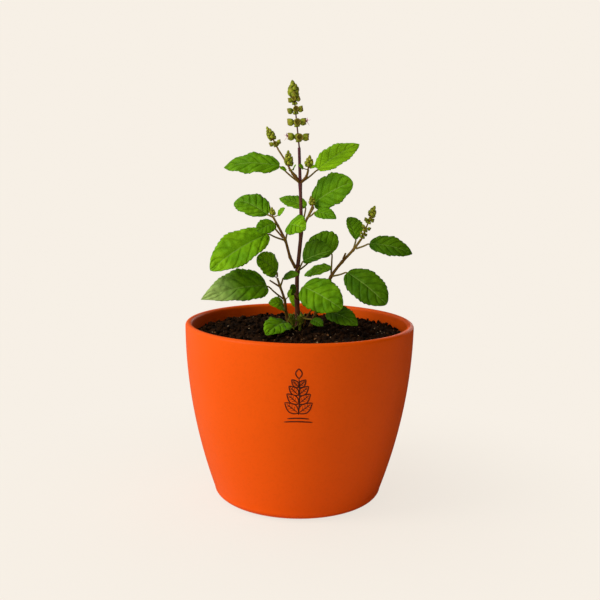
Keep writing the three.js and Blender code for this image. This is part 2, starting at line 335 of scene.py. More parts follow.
@dataclass(frozen=True)
class PlainFinish(Finish):
    """A mottled finish of two colours, for soil, chips, print and petals."""

    light: Colour = (0.5, 0.5, 0.5)
    dark: Colour = (0.3, 0.3, 0.3)
    patch: float = 200.0

    def make(self, effects: SharedEffects) -> bpy.types.Material:
        """Build the material from the shared effects."""
        material, wire, shader = self.begin()
        fine = 8 * self.patch
        patches = place_group(wire, effects.mottle, Scale=self.patch, Fine_Scale=fine, Contrast=0.16)
        colour = wire.blend(patches.outputs["Mask"], self.dark, self.light)
        rough = wire.spread(patches.outputs["Height"], 0.3, 0.7, self.rough - 0.08, self.rough + 0.06)
        self.finish_surface(wire, shader, colour, patches.outputs["Height"], rough)
        return material


@dataclass(frozen=True)
class StemFinish(Finish):
    """Stem skin: long streaks of two colours with a fine nap, greener towards the tip."""

    base: Colour = (0.10, 0.045, 0.03)
    streak: Colour = (0.16, 0.13, 0.03)
    tip: Colour = (0.17, 0.20, 0.04)
    tip_share: float = 0.4

    def make(self, effects: SharedEffects) -> bpy.types.Material:
        """Build the material from the shared effects."""
        material, wire, shader = self.begin()
        streaks = place_group(wire, effects.streaks, Width=24, Length=4)
        colour = wire.blend(streaks.outputs["Mask"], self.base, self.streak)
        parts = wire.node("SeparateXYZ")
        wire.feed(parts.inputs[0], wire.node("UVMap", uv_map=PLACE_MAP).outputs[0])
        young = wire.spread(parts.outputs[0], 0.45, 1.0, 0.0, self.tip_share)
        colour = wire.blend(young, colour, self.tip)
        rough = wire.spread(streaks.outputs["Height"], 0.5, 1.1, self.rough - 0.08, self.rough + 0.08)
        self.finish_surface(wire, shader, colour, streaks.outputs["Height"], rough)
        return material


@dataclass(frozen=True)
class LeafFinish(Finish):
    """One face of a blade: green patches, a pale rib, and side veins and a faint net in the vein colour: a
    painted shade in the creases on the top face, a paler vein tone on the under face.
    """

    deep: Colour = (0.045, 0.125, 0.006)
    fresh: Colour = (0.13, 0.27, 0.012)
    rib: Colour = (0.22, 0.34, 0.06)
    rib_share: float = 0.5
    # The vein colour: a painted shade in the vein creases on the top face, a paler vein tone on the under face.
    vein_shade_and_tone: Colour = (0.02, 0.06, 0.003)
    vein_shade_and_tone_share: float = 0.26
    pale_tip: float = 0.0

    def make(self, effects: SharedEffects) -> bpy.types.Material:
        """Build the material from the shared effects."""
        material, wire, shader = self.begin()
        veins = place_group(wire, effects.veins, Pairs=LeafVeins.pairs, Slant=LeafVeins.slant, Cells=650)
        patches = place_group(wire, effects.mottle, Scale=70, Fine_Scale=700, Contrast=0.26)
        colour = wire.blend(patches.outputs["Mask"], self.deep, self.fresh)
        # Painted shade: on the top face the net and side veins blend towards a darker green where the vein
        # creases would be shaded; on the under face the same blend makes paler veins.
        colour = wire.blend(wire.math("MULTIPLY", veins.outputs["Net"], 0.08), colour, self.vein_shade_and_tone)
        side = wire.math("MULTIPLY", veins.outputs["Side Veins"], self.vein_shade_and_tone_share)
        colour = wire.blend(side, colour, self.vein_shade_and_tone)
        colour = wire.blend(wire.math("MULTIPLY", veins.outputs["Rib"], self.rib_share), colour, self.rib)
        pale = wire.spread(veins.outputs["Along"], 0.35, 1.0, 0.0, self.pale_tip)
        colour = wire.blend(pale, colour, (0.33, 0.46, 0.13))
        net = wire.math("MULTIPLY", veins.outputs["Net"], -0.12)
        height = wire.math("MULTIPLY_ADD", veins.outputs["Side Veins"], -0.6, net)
        rough = wire.spread(patches.outputs["Height"], 0.3, 0.7, self.rough - 0.05, self.rough + 0.08)
        self.finish_surface(wire, shader, colour, height, rough)
        return material


@dataclass(frozen=True)
class CupFinish(Finish):
    """Seed cups and buds: olive in the body, brown and purple at the lips, with a painted shade darkening the
    foot where the cups crowd together.
    """

    foot: Colour = (0.150, 0.200, 0.008)
    lip: Colour = (0.200, 0.085, 0.022)
    bright: Colour = (0.340, 0.400, 0.020)
    # Painted shade: this dark colour at the feet stands for the shade in the gaps between crowded cups.
    root: Colour = (0.045, 0.020, 0.006)
    lip_share: float = 0.55

    def make(self, effects: SharedEffects) -> bpy.types.Material:
        """Build the material from the shared effects."""
        material, wire, shader = self.begin()
        patches = place_group(wire, effects.mottle, Scale=420, Fine_Scale=2600, Contrast=0.14)
        parts = wire.node("SeparateXYZ")
        wire.feed(parts.inputs[0], wire.node("UVMap", uv_map=PLACE_MAP).outputs[0])
        colour = wire.blend(patches.outputs["Mask"], self.foot, self.bright)
        edge = wire.spread(parts.outputs[0], 0.5, 1.0, 0.0, self.lip_share)
        colour = wire.blend(edge, colour, self.lip)
        # Painted shade: darken the foot of each cup and bud, where shade falls in the gaps between them.
        colour = wire.blend(wire.spread(parts.outputs[0], 0.0, 0.4, 0.8, 0.0), colour, self.root)
        rough = wire.spread(patches.outputs["Height"], 0.3, 0.7, self.rough - 0.08, self.rough + 0.08)
        self.finish_surface(wire, shader, colour, patches.outputs["Height"], rough)
        return material


def half_of(colour: Colour) -> Colour:
    """Give a colour half as bright."""
    return tuple(part / 2 for part in colour)


class LeafToneAndPaintedLight(Enum):
    """How bright a leaf's green is: partly the leaf's own colour, partly painted light and shade, as lighter
    and darker copies of one green chosen for how the light falls on each leaf.
    """

    DEEP = "deep"
    FULL = "full"
    FRESH = "fresh"
    SUNLIT = "sunlit"
    PALE_TIPPED = "pale_tipped"


class Palette:
    """Every material of the plant and its pot, made once."""

    def __init__(self) -> None:
        """Make the shared effects and all finishes."""
        effects = SharedEffects()
        self.pot = PotFinish("satin_orange_paint", 0.42, 0.00005, gloss=0.07).make(effects)
        self.print = PlainFinish(
            "brown_print",
            0.55,
            0.00003,
            light=(0.075, 0.011, 0.002),
            dark=(0.040, 0.006, 0.001),
            patch=300,
        ).make(effects)
        self.soil = PlainFinish(
            "potting_soil",
            0.95,
            0.0009,
            gloss=0.05,
            light=(0.030, 0.012, 0.004),
            dark=(0.0045, 0.002, 0.0008),
        ).make(effects)
        self.bark = PlainFinish(
            "bark_chips",
            0.88,
            0.0003,
            gloss=0.08,
            light=(0.19, 0.085, 0.030),
            dark=(0.05, 0.020, 0.006),
            patch=300,
        ).make(effects)
        self.grit = PlainFinish(
            "pale_grit", 0.85, 0.0002, light=(0.50, 0.36, 0.22), dark=(0.26, 0.16, 0.08), patch=420
        ).make(effects)
        self.petal = PlainFinish(
            "pink_petal", 0.55, 0.0001, light=(0.78, 0.46, 0.54), dark=(0.52, 0.18, 0.32), patch=500
        ).make(effects)
        self.stem = StemFinish(
            "main_stem_skin",
            0.5,
            0.00025,
            base=(0.110, 0.020, 0.034),
            streak=(0.14, 0.060, 0.016),
            tip=(0.10, 0.022, 0.045),
            tip_share=0.6,
        ).make(effects)
        self.branch = StemFinish(
            "branch_skin",
            0.58,
            0.0002,
            base=(0.150, 0.040, 0.014),
            streak=(0.20, 0.13, 0.014),
            tip=(0.24, 0.20, 0.02),
        ).make(effects)
        self.young = StemFinish(
            "young_shoot_skin",
            0.55,
            0.0002,
            base=(0.17, 0.24, 0.010),
            streak=(0.30, 0.34, 0.02),
            tip=(0.30, 0.42, 0.03),
        ).make(effects)
        self.petiole = StemFinish(
            "leaf_stalk_skin",
            0.55,
            0.0002,
            base=(0.17, 0.090, 0.012),
            streak=(0.23, 0.20, 0.018),
            tip=(0.13, 0.22, 0.018),
            tip_share=0.8,
        ).make(effects)
        self.cup = CupFinish("seed_cup_skin", 0.6, 0.0002).make(effects)
        bud = CupFinish("young_bud_skin", 0.6, 0.0002, lip=(0.20, 0.075, 0.015), lip_share=0.7)
        self.bud = bud.make(effects)
        # Painted light and shade: these greens are lighter and darker copies of the leaf green, set per leaf
        # for how lit it is, besides the leaves' own differences in colour.
        shades = {
            LeafToneAndPaintedLight.DEEP: ((0.032, 0.104, 0.0008), (0.078, 0.182, 0.0012)),
            LeafToneAndPaintedLight.FULL: ((0.064, 0.188, 0.0010), (0.140, 0.318, 0.0020)),
            LeafToneAndPaintedLight.FRESH: ((0.100, 0.268, 0.0015), (0.198, 0.420, 0.0035)),
            LeafToneAndPaintedLight.SUNLIT: ((0.180, 0.410, 0.003), (0.290, 0.580, 0.007)),
            LeafToneAndPaintedLight.PALE_TIPPED: ((0.058, 0.172, 0.0010), (0.132, 0.298, 0.0020)),
        }
        self.blade: dict[LeafToneAndPaintedLight, bpy.types.Material] = {}
        self.under: dict[LeafToneAndPaintedLight, bpy.types.Material] = {}
        for tone, (deep, fresh) in shades.items():
            tip = 0.95 if tone is LeafToneAndPaintedLight.PALE_TIPPED else 0.0
            top = LeafFinish(
                f"blade_top_painted_light_{tone.value}",
                0.5,
                0.0004,
                0.05,
                deep=deep,
                fresh=fresh,
                pale_tip=tip,
                # Painted shade in the vein creases: half the darker green.
                vein_shade_and_tone=half_of(deep),
            )
            paler = tuple(0.7 * c + 0.3 * p for c, p in zip(fresh, (0.25, 0.36, 0.10)))
            below = LeafFinish(
                f"blade_under_painted_light_{tone.value}",
                0.65,
                0.0003,
                0.03,
                deep=fresh,
                fresh=paler,
                vein_shade_and_tone=paler,
                vein_shade_and_tone_share=0.2,
            )
            self.blade[tone] = top.make(effects)
            self.under[tone] = below.make(effects)


# ------------------------------------------------------------------- mesh tools
class Sketch:
    """The points and faces of one piece while it is built."""

    def __init__(self) -> None:
        """Start empty."""
        self.points: list[Vector] = []
        self.places: list[tuple[float, float]] = []
        self.faces: list[tuple[int, ...]] = []
        self.finishes: list[int] = []

    def point(self, where: Vector, along: float = 0.0, across: float = 0.5) -> int:
        """Add a point.

        Args:
            where: Its position, in metres.
            along: Its place along the part it belongs to, from 0 to 1.
            across: Its place across or round the part, from 0 to 1.

        Returns:
            Its number.
        """
        self.points.append(Vector(where))
        self.places.append((along, across))
        return len(self.points) - 1

    def face(self, corners: tuple[int, ...], finish: int = 0) -> None:
        """Add a face with the number of its finish."""
        self.faces.append(corners)
        self.finishes.append(finish)

    def band(self, lower: list[int], upper: list[int], finish: int = 0) -> None:
        """Join two closed rings of the same count with quads."""
        count = len(lower)
        for i in range(count):
            j = (i + 1) % count
            self.face((lower[i], lower[j], upper[j], upper[i]), finish)

    def cap(self, ring: list[int], where: Vector, along: float, top: bool, finish: int = 0) -> None:
        """Close a ring with a fan round one point."""
        middle = self.point(where, along)
        count = len(ring)
        for i in range(count):
            j = (i + 1) % count
            corners = (ring[i], ring[j], middle) if top else (ring[j], ring[i], middle)
            self.face(corners, finish)

    def limb(
        self, line: list[Vector], radii: list[float], sides: int, finish: int = 0, square: float = 0.0
    ) -> None:
        """Add a closed round limb along a line.

        Args:
            line: The middle of each ring.
            radii: The radius of each ring.
            sides: How many sides the rings have.
            finish: The number of the limb's finish.
            square: How far the four corners stand out, as a part of the radius.
        """
        count = len(line)
        ahead = (line[1] - line[0]).normalized()
        axis = ahead.orthogonal().normalized()
        rings = []
        for i, (middle, radius) in enumerate(zip(line, radii)):
            ahead = (line[min(i + 1, count - 1)] - line[max(i - 1, 0)]).normalized()
            axis = (axis - axis.dot(ahead) * ahead).normalized()
            other = ahead.cross(axis)
            ring = []
            for side in range(sides):
                angle = 2 * math.pi * side / sides
                out = radius * (1 + square * math.cos(4 * angle))
                spot = middle + out * (math.cos(angle) * axis + math.sin(angle) * other)
                ring.append(self.point(spot, i / (count - 1), side / sides))
            rings.append(ring)
        for lower, upper in zip(rings, rings[1:]):
            self.band(lower, upper, finish)
        self.cap(rings[0], line[0], 0.0, False, finish)
        self.cap(rings[-1], line[-1], 1.0, True, finish)

    def turned(self, profile: list[Vector], sides: int, finish: int = 0) -> list[list[int]]:
        """Add a surface turned about +Z.

        Args:
            profile: Points of (radius, 0, height), in order along the profile.
            sides: How many sides the rings have.
            finish: The number of the surface's finish.

        Returns:
            The rings of points, one for each profile point.
        """
        rings = []
        for row, spot in enumerate(profile):
            turn = [2 * math.pi * side / sides for side in range(sides)]
            ring = [Vector((spot.x * math.cos(a), spot.x * math.sin(a), spot.z)) for a in turn]
            part = row / (len(profile) - 1)
            rings.append([self.point(p, part, i / sides) for i, p in enumerate(ring)])
        for lower, upper in zip(rings, rings[1:]):
            self.band(lower, upper, finish)
        return rings

    def lump(
        self, middle: Vector, size: Vector, turn: Matrix, rng: random.Random, finish: int, rings: int = 3
    ) -> None:
        """Add a small uneven closed lump.

        Args:
            middle: Its middle.
            size: Its three half sizes.
            turn: Its rotation.
            rng: The seeded source of its unevenness.
            finish: The number of its finish.
            rings: How many rings it has between its ends.
        """
        sides = 2 * rings
        made = []
        for row in range(1, rings + 1):
            tilt = math.pi * row / (rings + 1)
            ring = []
            for side in range(sides):
                angle = 2 * math.pi * side / sides
                flat = math.sin(tilt)
                out = Vector((flat * math.cos(angle), flat * math.sin(angle), math.cos(tilt)))
                out = Vector(a * b for a, b in zip(out, size)) * rng.uniform(0.75, 1.15)
                ring.append(self.point(middle + turn @ out, row / (rings + 1), side / sides))
            made.append(ring)
        for upper, lower in zip(made, made[1:]):
            self.band(lower, upper, finish)
        self.cap(made[0], middle + turn @ Vector((0, 0, size.z)), 0.0, True, finish)
        self.cap(made[-1], middle - turn @ Vector((0, 0, size.z)), 1.0, False, finish)

    def build(self, name: str, materials: list[bpy.types.Material]) -> bpy.types.Object:
        """Turn the sketch into a smooth-shaded object.

        Args:
            name: The piece's name.
            materials: Its materials, in the order of the finish numbers.

        Returns:
            The new object, in the scene.
        """
        mesh = bpy.data.meshes.new(name)
        mesh.from_pydata(self.points, [], self.faces)
        for material in materials:
            mesh.materials.append(material)
        mesh.polygons.foreach_set("material_index", self.finishes)
        mesh.polygons.foreach_set("use_smooth", [True] * len(self.faces))
        layer = mesh.uv_layers.new(name=PLACE_MAP)
        flat = [part for loop in mesh.loops for part in self.places[loop.vertex_index]]
        layer.data.foreach_set("uv", flat)
        mesh.update()
        made = bpy.data.objects.new(name, mesh)
        bpy.context.scene.collection.objects.link(made)
        return made


def adopt(piece: bpy.types.Object, node: str) -> None:
    """Let a piece stand for a node of the frame, and report it.

    Args:
        piece: The finished piece.
        node: The frame node that it replaces.
    """
    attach(piece, BODY)
    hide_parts(node)
    LOG.info("%s: %d points, %d faces", piece.name, len(piece.data.vertices), len(piece.data.polygons))


# ------------------------------------------------------ limbs read from the frame
@dataclass
class Ring:
    """One ring of a limb in the frame."""

    middle: Vector
    radius: float
    corners: list[Vector]


class FrameLimb:
    """A stem, leaf or spike of the frame, read back as its two ends and the rings between them."""

    end_difference = 0.1 * MM
    same_point = 0.001 * MM

    def __init__(self, node: bpy.types.Object, sides: int) -> None:
        """Read a node.

        Args:
            node: The frame's object.
            sides: How many corners its rings have.
        """
        points, near = self._shared_points(node.data)
        sorted_from = (self._layers(near, start) for start in near)
        layers = next(found for found in sorted_from if self._fits(found, sides))
        ends = points[layers[0][0]], points[layers[-1][0]]
        rings = [self._ring([points[i] for i in layer]) for layer in layers[1:-1]]
        cut_first = (ends[0] - rings[0].middle).length
        cut_last = (ends[1] - rings[-1].middle).length
        upside_down = abs(cut_first - cut_last) < self.end_difference and ends[0].z > ends[1].z
        if cut_first > cut_last + self.end_difference or upside_down:
            ends = ends[::-1]
            rings.reverse()
        self.start, self.end = ends
        self.rings = rings

    @classmethod
    def _shared_points(cls, mesh: bpy.types.Mesh) -> tuple[list[Vector], dict[int, set[int]]]:
        """Join the points that lie on each other, and list which are joined by an edge."""
        number: dict[tuple[int, ...], int] = {}
        points: list[Vector] = []
        of_corner = []
        for vertex in mesh.vertices:
            key = tuple(round(part / cls.same_point) for part in vertex.co)
            if key not in number:
                number[key] = len(points)
                points.append(vertex.co.copy())
            of_corner.append(number[key])
        near: dict[int, set[int]] = defaultdict(set)
        for polygon in mesh.polygons:
            corners = [of_corner[i] for i in polygon.vertices]
            for a, b in zip(corners, corners[1:] + corners[:1]):
                if a != b:
                    near[a].add(b)
                    near[b].add(a)
        return points, near

    @staticmethod
    def _layers(near: dict[int, set[int]], start: int) -> list[list[int]]:
        """Sort the points by how many edges they are from a start."""
        seen = {start}
        layers = [[start]]
        while True:
            further = sorted({n for i in layers[-1] for n in near[i]} - seen)
            if not further:
                return layers
            seen.update(further)
            layers.append(further)

    @staticmethod
    def _fits(layers: list[list[int]], sides: int) -> bool:
        """Say whether layers are one end, full rings and the other end."""
        return len(layers[-1]) == 1 and all(len(layer) == sides for layer in layers[1:-1])

    @staticmethod
    def _ring(corners: list[Vector]) -> Ring:
        """Measure a ring from its corners."""
        middle = sum(corners, Vector()) / len(corners)
        return Ring(middle, max((c - middle).length for c in corners), corners)


# ------------------------------------------------------------------------- pot
class PrintLine(Enum):
    """The widths of the printed lines, in metres."""

    STEM = 0.75 * MM
    LEAF = 0.65 * MM
    RIB = 0.50 * MM
    VEIN = 0.45 * MM
    BOLD = 0.70 * MM


@dataclass
class Pot:
    """The bowed pot with its rounded lip, drainage hole and printed sprig. Sizes in metres."""

    wall: float = 4.4 * MM
    bow: float = 21.7 * MM
    corner: float = 7 * MM
    flat_radius: float = 43.5 * MM
    floor: float = 5 * MM
    drain_radius: float = 7 * MM
    sides: int = 192
    print_middle: float = 86 * MM
    print_height: float = 36 * MM
    print_sunk: float = 0.05 * MM
    print_proud: float = 0.12 * MM
    height: float = field(init=False)
    rim: float = field(init=False)

    def __post_init__(self) -> None:
        """Take the height and the rim from the frame."""
        low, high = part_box("pot")
        self.height = high.z
        self.rim = (high.x - low.x) / 2

    def outer(self, z: float) -> float:
        """Give the outer radius at a height."""
        return self.rim - self.bow * (1 - z / self.height) ** 2

    def profile(self) -> list[Vector]:
        """Give the closed profile of the wall, from the hole's lower edge round to its upper edge."""
        line = [Vector((self.drain_radius, 0, 0)), Vector((self.flat_radius * 0.6, 0, 0))]
        corner_radius = self.outer(self.corner)
        for step in range(13):
            angle = math.pi / 2 * step / 12
            reach = self.flat_radius + (corner_radius - self.flat_radius) * math.sin(angle)
            line.append(Vector((reach, 0, self.corner * (1 - math.cos(angle)))))
        lip = self.wall / 2
        top = self.height - lip
        for step in range(1, 24):
            z = self.corner + (top - self.corner) * step / 24
            line.append(Vector((self.outer(z), 0, z)))
        for step in range(13):
            angle = math.pi * step / 12
            reach = self.outer(top) - lip + lip * math.cos(angle)
            line.append(Vector((reach, 0, top + lip * math.sin(angle))))
        inside = self.floor + self.corner
        for step in range(1, 17):
            z = top + (inside - top) * step / 16
            line.append(Vector((self.outer(z) - self.wall, 0, z)))
        for step in range(1, 9):
            angle = math.pi / 2 * step / 8
            reach = self.outer(inside) - self.wall
            reach = self.flat_radius + (reach - self.flat_radius) * math.cos(angle)
            line.append(Vector((reach, 0, inside - self.corner * math.sin(angle))))
        line.append(Vector((self.drain_radius, 0, self.floor)))
        return line

    def on_wall(self, across: float, z: float, proud: float) -> Vector:
        """Give a point on the front of the wall, standing proud of it."""
        radius = self.outer(z) + proud
        angle = -math.pi / 2 + across / radius
        return Vector((radius * math.cos(angle), radius * math.sin(angle), z))

    def print_line(self, sketch: Sketch, line: list[tuple[float, float]], kind: PrintLine) -> None:
        """Print one line on the wall as a thin closed strip.

        Args:
            sketch: The pot's sketch.
            line: The line's points, across and up from the middle of the print.
            kind: The kind of line, which gives its width.
        """
        low, high = -self.print_sunk, self.print_proud
        rows = []
        for i, (across, up) in enumerate(line):
            ahead = Vector(line[min(i + 1, len(line) - 1)]) - Vector(line[max(i - 1, 0)])
            side = Vector((-ahead.y, ahead.x)).normalized() * kind.value / 2
            half = side * (0.45 if i in (0, len(line) - 1) else 1.0)
            row = []
            for part, proud in ((-1, low), (1, low), (1, high), (-1, high)):
                z = self.print_middle + up + part * half.y
                row.append(sketch.point(self.on_wall(across + part * half.x, z, proud)))
            rows.append(row)
        for lower, upper in zip(rows, rows[1:]):
            sketch.band(upper, lower, 1)
        sketch.face(tuple(rows[0]), 1)
        sketch.face(tuple(reversed(rows[-1])), 1)

    def print_sprig(self, sketch: Sketch) -> None:
        """Print a plain sprig of paired leaves over two short bars."""
        half = self.print_height / 2
        stem = [
            (0.6 * MM * math.sin(3 * t), -0.62 * half + 1.25 * half * t)
            for t in (i / 12 for i in range(13))
        ]
        self.print_line(sketch, stem, PrintLine.STEM)
        for foot, reach, rise in ((-0.56, 8.2, 6.4), (-0.24, 7.0, 6.2), (0.06, 5.8, 5.6), (0.33, 4.2, 4.8)):
            for side in (-1, 1):
                start = Vector((0, foot * half))
                tip = start + Vector((side * reach * MM, rise * MM))
                out = Vector((tip.y - start.y, start.x - tip.x)) * 0.28
                for bow in (-1, 1):
                    turn = [
                        start.lerp(tip, t) + bow * out * math.sin(math.pi * t**0.85)
                        for t in (i / 14 for i in range(15))
                    ]
                    self.print_line(sketch, [tuple(p) for p in turn], PrintLine.LEAF)
                    for part in (0.28, 0.46, 0.64):
                        vein = [start.lerp(tip, part), start.lerp(tip, part + 0.14) + 0.62 * bow * out]
                        self.print_line(sketch, [tuple(p) for p in vein], PrintLine.VEIN)
                rib = [start.lerp(tip, 0.06 + 0.8 * t / 4) for t in range(5)]
                self.print_line(sketch, [tuple(p) for p in rib], PrintLine.RIB)
        for side in (-1, 1):
            bud = [
                (side * 1.9 * MM * math.sin(math.pi * t), (0.63 + 0.34 * t) * half)
                for t in (i / 10 for i in range(11))
            ]
            self.print_line(sketch, bud, PrintLine.BOLD)
        for row, reach in ((-0.74, 6.5), (-0.86, 8.5)):
            bar = [(reach * MM * (t / 5 - 1), row * half - 0.5 * MM * (t / 5 - 1) ** 2) for t in range(11)]
            self.print_line(sketch, bar, PrintLine.BOLD)

    def build(self, palette: Palette) -> bpy.types.Object:
        """Build and dress the pot."""
        sketch = Sketch()
        rings = sketch.turned(self.profile(), self.sides)
        sketch.band(rings[-1], rings[0])
        self.print_sprig(sketch)
        piece = sketch.build("painted_pot", [palette.pot, palette.print])
        adopt(piece, "pot")
        return piece


# ------------------------------------------------------------------------ soil
@dataclass
class Soil:
    """The crumbly soil that fills the pot, with bark chips and pale grit on top. Sizes in metres."""

    sides: int = 220
    rows: int = 70
    crumbs: int = 1500
    chips: int = 260
    grit: int = 340
    seed: int = 4
    edge_margin: float = 2.5 * MM
    near: float = 0.01 * MM

    def __post_init__(self) -> None:
        """Take the sizes from the frame."""
        low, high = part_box("soil")
        self.bottom = low.z
        self.middle_height = high.z
        self.radius = (high.x - low.x) / 2
        node = bpy.data.objects["soil"]
        rim = [v.co.z for v in node.data.vertices if v.co.xy.length > self.radius - 5 * self.near]
        self.edge_height = max(rim)
        self.side_line = self._side(node)

    def _side(self, node: bpy.types.Object) -> list[Vector]:
        """Read the side's profile, from the middle of the bottom to the top edge."""
        spots = {}
        for vertex in node.data.vertices:
            spot = vertex.co
            if spot.y > -self.near and abs(spot.x) < self.near and spot.z < self.edge_height + self.near:
                spots[round(spot.z, 6), round(spot.y, 6)] = Vector((spot.y, 0, spot.z))
        return [spots[key] for key in sorted(spots)]

    def surface(self, x: float, y: float) -> float:
        """Give the height of the crumbly surface at a place."""
        part = math.hypot(x, y) / self.radius
        mound = self.middle_height - (self.middle_height - self.edge_height) * part * part
        spot = Vector((x, y, 0)) / MM
        broad = 1.1 * noise.noise(spot / 13) + 0.9 * noise.noise(spot / 5 + UP * 7)
        cell = noise.voronoi(spot / 3.4 + UP * 3)[0][0]
        small = noise.voronoi(spot / 1.5 + UP * 11)[0][0]
        clods = 2.1 * (0.5 - cell) + 0.8 * (0.45 - small) + 0.4 * noise.noise(spot / 0.7)
        edge = smooth_step((1 - part) / 0.04)
        return mound + (broad + clods + 0.7) * MM * (0.45 + 0.55 * edge)

    def build(self, palette: Palette) -> bpy.types.Object:
        """Build and dress the soil."""
        sketch = Sketch()
        rng = random.Random(self.seed)
        side = sketch.turned([p for p in self.side_line if p.x > 1 * MM], self.sides)
        sketch.cap(side[0], Vector((0, 0, self.bottom)), 0.0, False)
        below = side[-1]
        for row in range(self.rows - 1, 0, -1):
            reach = self.radius * (row / self.rows) ** 0.8
            ring = []
            for i in range(self.sides):
                angle = 2 * math.pi * i / self.sides
                x, y = reach * math.cos(angle), reach * math.sin(angle)
                ring.append(sketch.point(Vector((x, y, self.surface(x, y)))))
            sketch.band(below, ring)
            below = ring
        sketch.cap(below, Vector((0, 0, self.surface(0, 0))), 1.0, True)
        self._scatter(sketch, rng, self.crumbs, 0, (0.6, 2.5), 1.0)
        self._scatter(sketch, rng, self.chips, 1, (0.5, 1.8), 0.45)
        self._scatter(sketch, rng, self.grit, 2, (0.22, 0.8), 0.8)
        piece = sketch.build("soil_surface", [palette.soil, palette.bark, palette.grit])
        adopt(piece, "soil")
        return piece

    def _scatter(
        self, sketch: Sketch, rng: random.Random, count: int, finish: int, sizes: tuple, flat: float
    ) -> None:
        """Scatter uneven lumps over the surface.

        Args:
            sketch: The soil's sketch.
            rng: The seeded source of places and sizes.
            count: How many lumps there are.
            finish: The number of their finish.
            sizes: Their smallest and largest half length, in millimetres.
            flat: Their thickness as a part of their length.
        """
        for _ in range(count):
            reach = (self.radius - self.edge_margin) * math.sqrt(rng.random())
            angle = rng.uniform(0, 2 * math.pi)
            x, y = reach * math.cos(angle), reach * math.sin(angle)
            half = sizes[0] + (sizes[1] - sizes[0]) * rng.random() ** 2.2
            size = Vector((half, half * rng.uniform(0.45, 0.9), half * flat * rng.uniform(0.6, 1.0))) * MM
            heading = Matrix.Rotation(rng.uniform(0, math.tau), 3, "Z")
            turn = heading @ Matrix.Rotation(rng.uniform(-0.7, 0.7), 3, "X")
            middle = Vector((x, y, self.surface(x, y) + 0.3 * size.z))
            sketch.lump(middle, size, turn, rng, finish)


# ----------------------------------------------------------------------- stems
@dataclass
class Stem:
    """One stem or twig that follows its frame limb, swollen where it branches."""

    node: str
    slot: str = "stem_bark"
    sunk: bool = False
    square: float = 0.07
    swelling: float = 0.28
    leaflets: int = 0
    sunk_depth: float = 5 * MM
    leaflet_thickness: float = 0.18 * MM

    def build(self, frame: dict, palette: Palette, material: bpy.types.Material) -> bpy.types.Object:
        """Build and dress the stem.

        Args:
            frame: The loaded frame.
            palette: Not used.
            material: The stem's own material.

        Returns:
            The finished piece.
        """
        limb = FrameLimb(frame["nodes"][self.node], 6)
        middles = [ring.middle for ring in limb.rings]
        radii = [ring.radius for ring in limb.rings]
        heading = (middles[0] - middles[1]).normalized()
        reach = self.sunk_depth if self.sunk else 1.6 * radii[0] + 0.6 * MM
        steps = 6 * (len(middles) - 1)
        line, sizes = [middles[0] + reach * heading], [radii[0] * (1.35 if self.sunk else 1.15)]
        for i in range(steps + 1):
            part = i / steps
            place = part * (len(radii) - 1)
            low = min(int(place), len(radii) - 2)
            radius = radii[low] + (radii[low + 1] - radii[low]) * (place - low)
            from_node = abs(place / 2 - round(place / 2))
            inner = 0 < round(place / 2) < (len(radii) - 1) / 2
            swell = 1 + (self.swelling * math.exp(-((from_node / 0.09) ** 2)) if inner else 0.0)
            flare = 1 + 0.3 * math.exp(-part * 14) if self.sunk else 1.0
            uneven = 1 + 0.05 * noise.noise(Vector((7.3, place * 3.1, len(self.node))))
            line.append(through_points(middles, part))
            sizes.append(radius * swell * flare * uneven)
        sketch = Sketch()
        sketch.limb(line, sizes, 16, square=self.square)
        self._tuft(sketch, middles)
        piece = sketch.build("grown_" + self.node, [material])
        adopt(piece, self.node)
        return piece


    def _tuft(self, sketch: Sketch, middles: list[Vector]) -> None:
        """Add the tiny first leaves that crowd a young shoot.

        Args:
            sketch: The stem's sketch.
            middles: The middles of the stem's rings.
        """
        rng = random.Random(self.node)
        for i in range(self.leaflets):
            part = 0.1 + 0.85 * (i + rng.uniform(0.2, 0.8)) / self.leaflets
            angle = i * GOLDEN_TURN
            out = Vector((math.cos(angle), math.sin(angle), rng.uniform(0.7, 1.6))).normalized()
            side = out.cross(UP).normalized()
            turn = Matrix((side, side.cross(out), out)).transposed()
            reach = rng.uniform(1.6, 2.9) * MM
            size = Vector((0.5 * reach, self.leaflet_thickness, reach))
            sketch.lump(through_points(middles, part) + out * 0.95 * reach, size, turn, rng, 0, 4)


# ---------------------------------------------------------------------- leaves
class LeafVeins:
    """How the side veins leave the rib, the same in the mesh and in the shader."""

    pairs = 5.0
    slant = 0.30
    curve = 1.15
    side_shift = 0.4

    @classmethod
    def distance(cls, along: float, across: float) -> float:
        """Give the distance from the nearest side vein, from 0 on it to 1 midway between two."""
        side = cls.side_shift / 2 * (1 if across > 0 else -1)
        place = (along - cls.slant * abs(across) ** cls.curve) * cls.pairs + side
        return abs(place - math.floor(place) - 0.5) * 2


@dataclass(frozen=True)
class LeafForm:
    """How one blade is shaped and coloured, its green partly painted light and shade.

    widest is where the blade is widest, as a part of its length. A base_end or tip_end of 0.5
    makes that end round, and a higher value makes it pointed. fold lifts the two halves, twist
    turns the tip in degrees, and pucker is the height of the swellings between the veins, in
    millimetres. left_half and right_half scale the halves, seen with the tip up.
    """

    # The leaf's green, partly painted light and shade for how lit the leaf is.
    tone: LeafToneAndPaintedLight = LeafToneAndPaintedLight.FULL
    widest: float = 0.44
    base_end: float = 0.50
    tip_end: float = 0.80
    fold: float = 0.12
    twist: float = 0.0
    left_half: float = 1.0
    right_half: float = 1.0
    ripple: float = 0.06
    pucker: float = 0.45

    def half_width(self, part: float) -> float:
        """Give the half width at a place along the blade, as a part of the widest."""
        if part < self.widest:
            return (1 - (1 - part / self.widest) ** 2) ** self.base_end
        return max(0.0, 1 - ((part - self.widest) / (1 - self.widest)) ** 2) ** self.tip_end


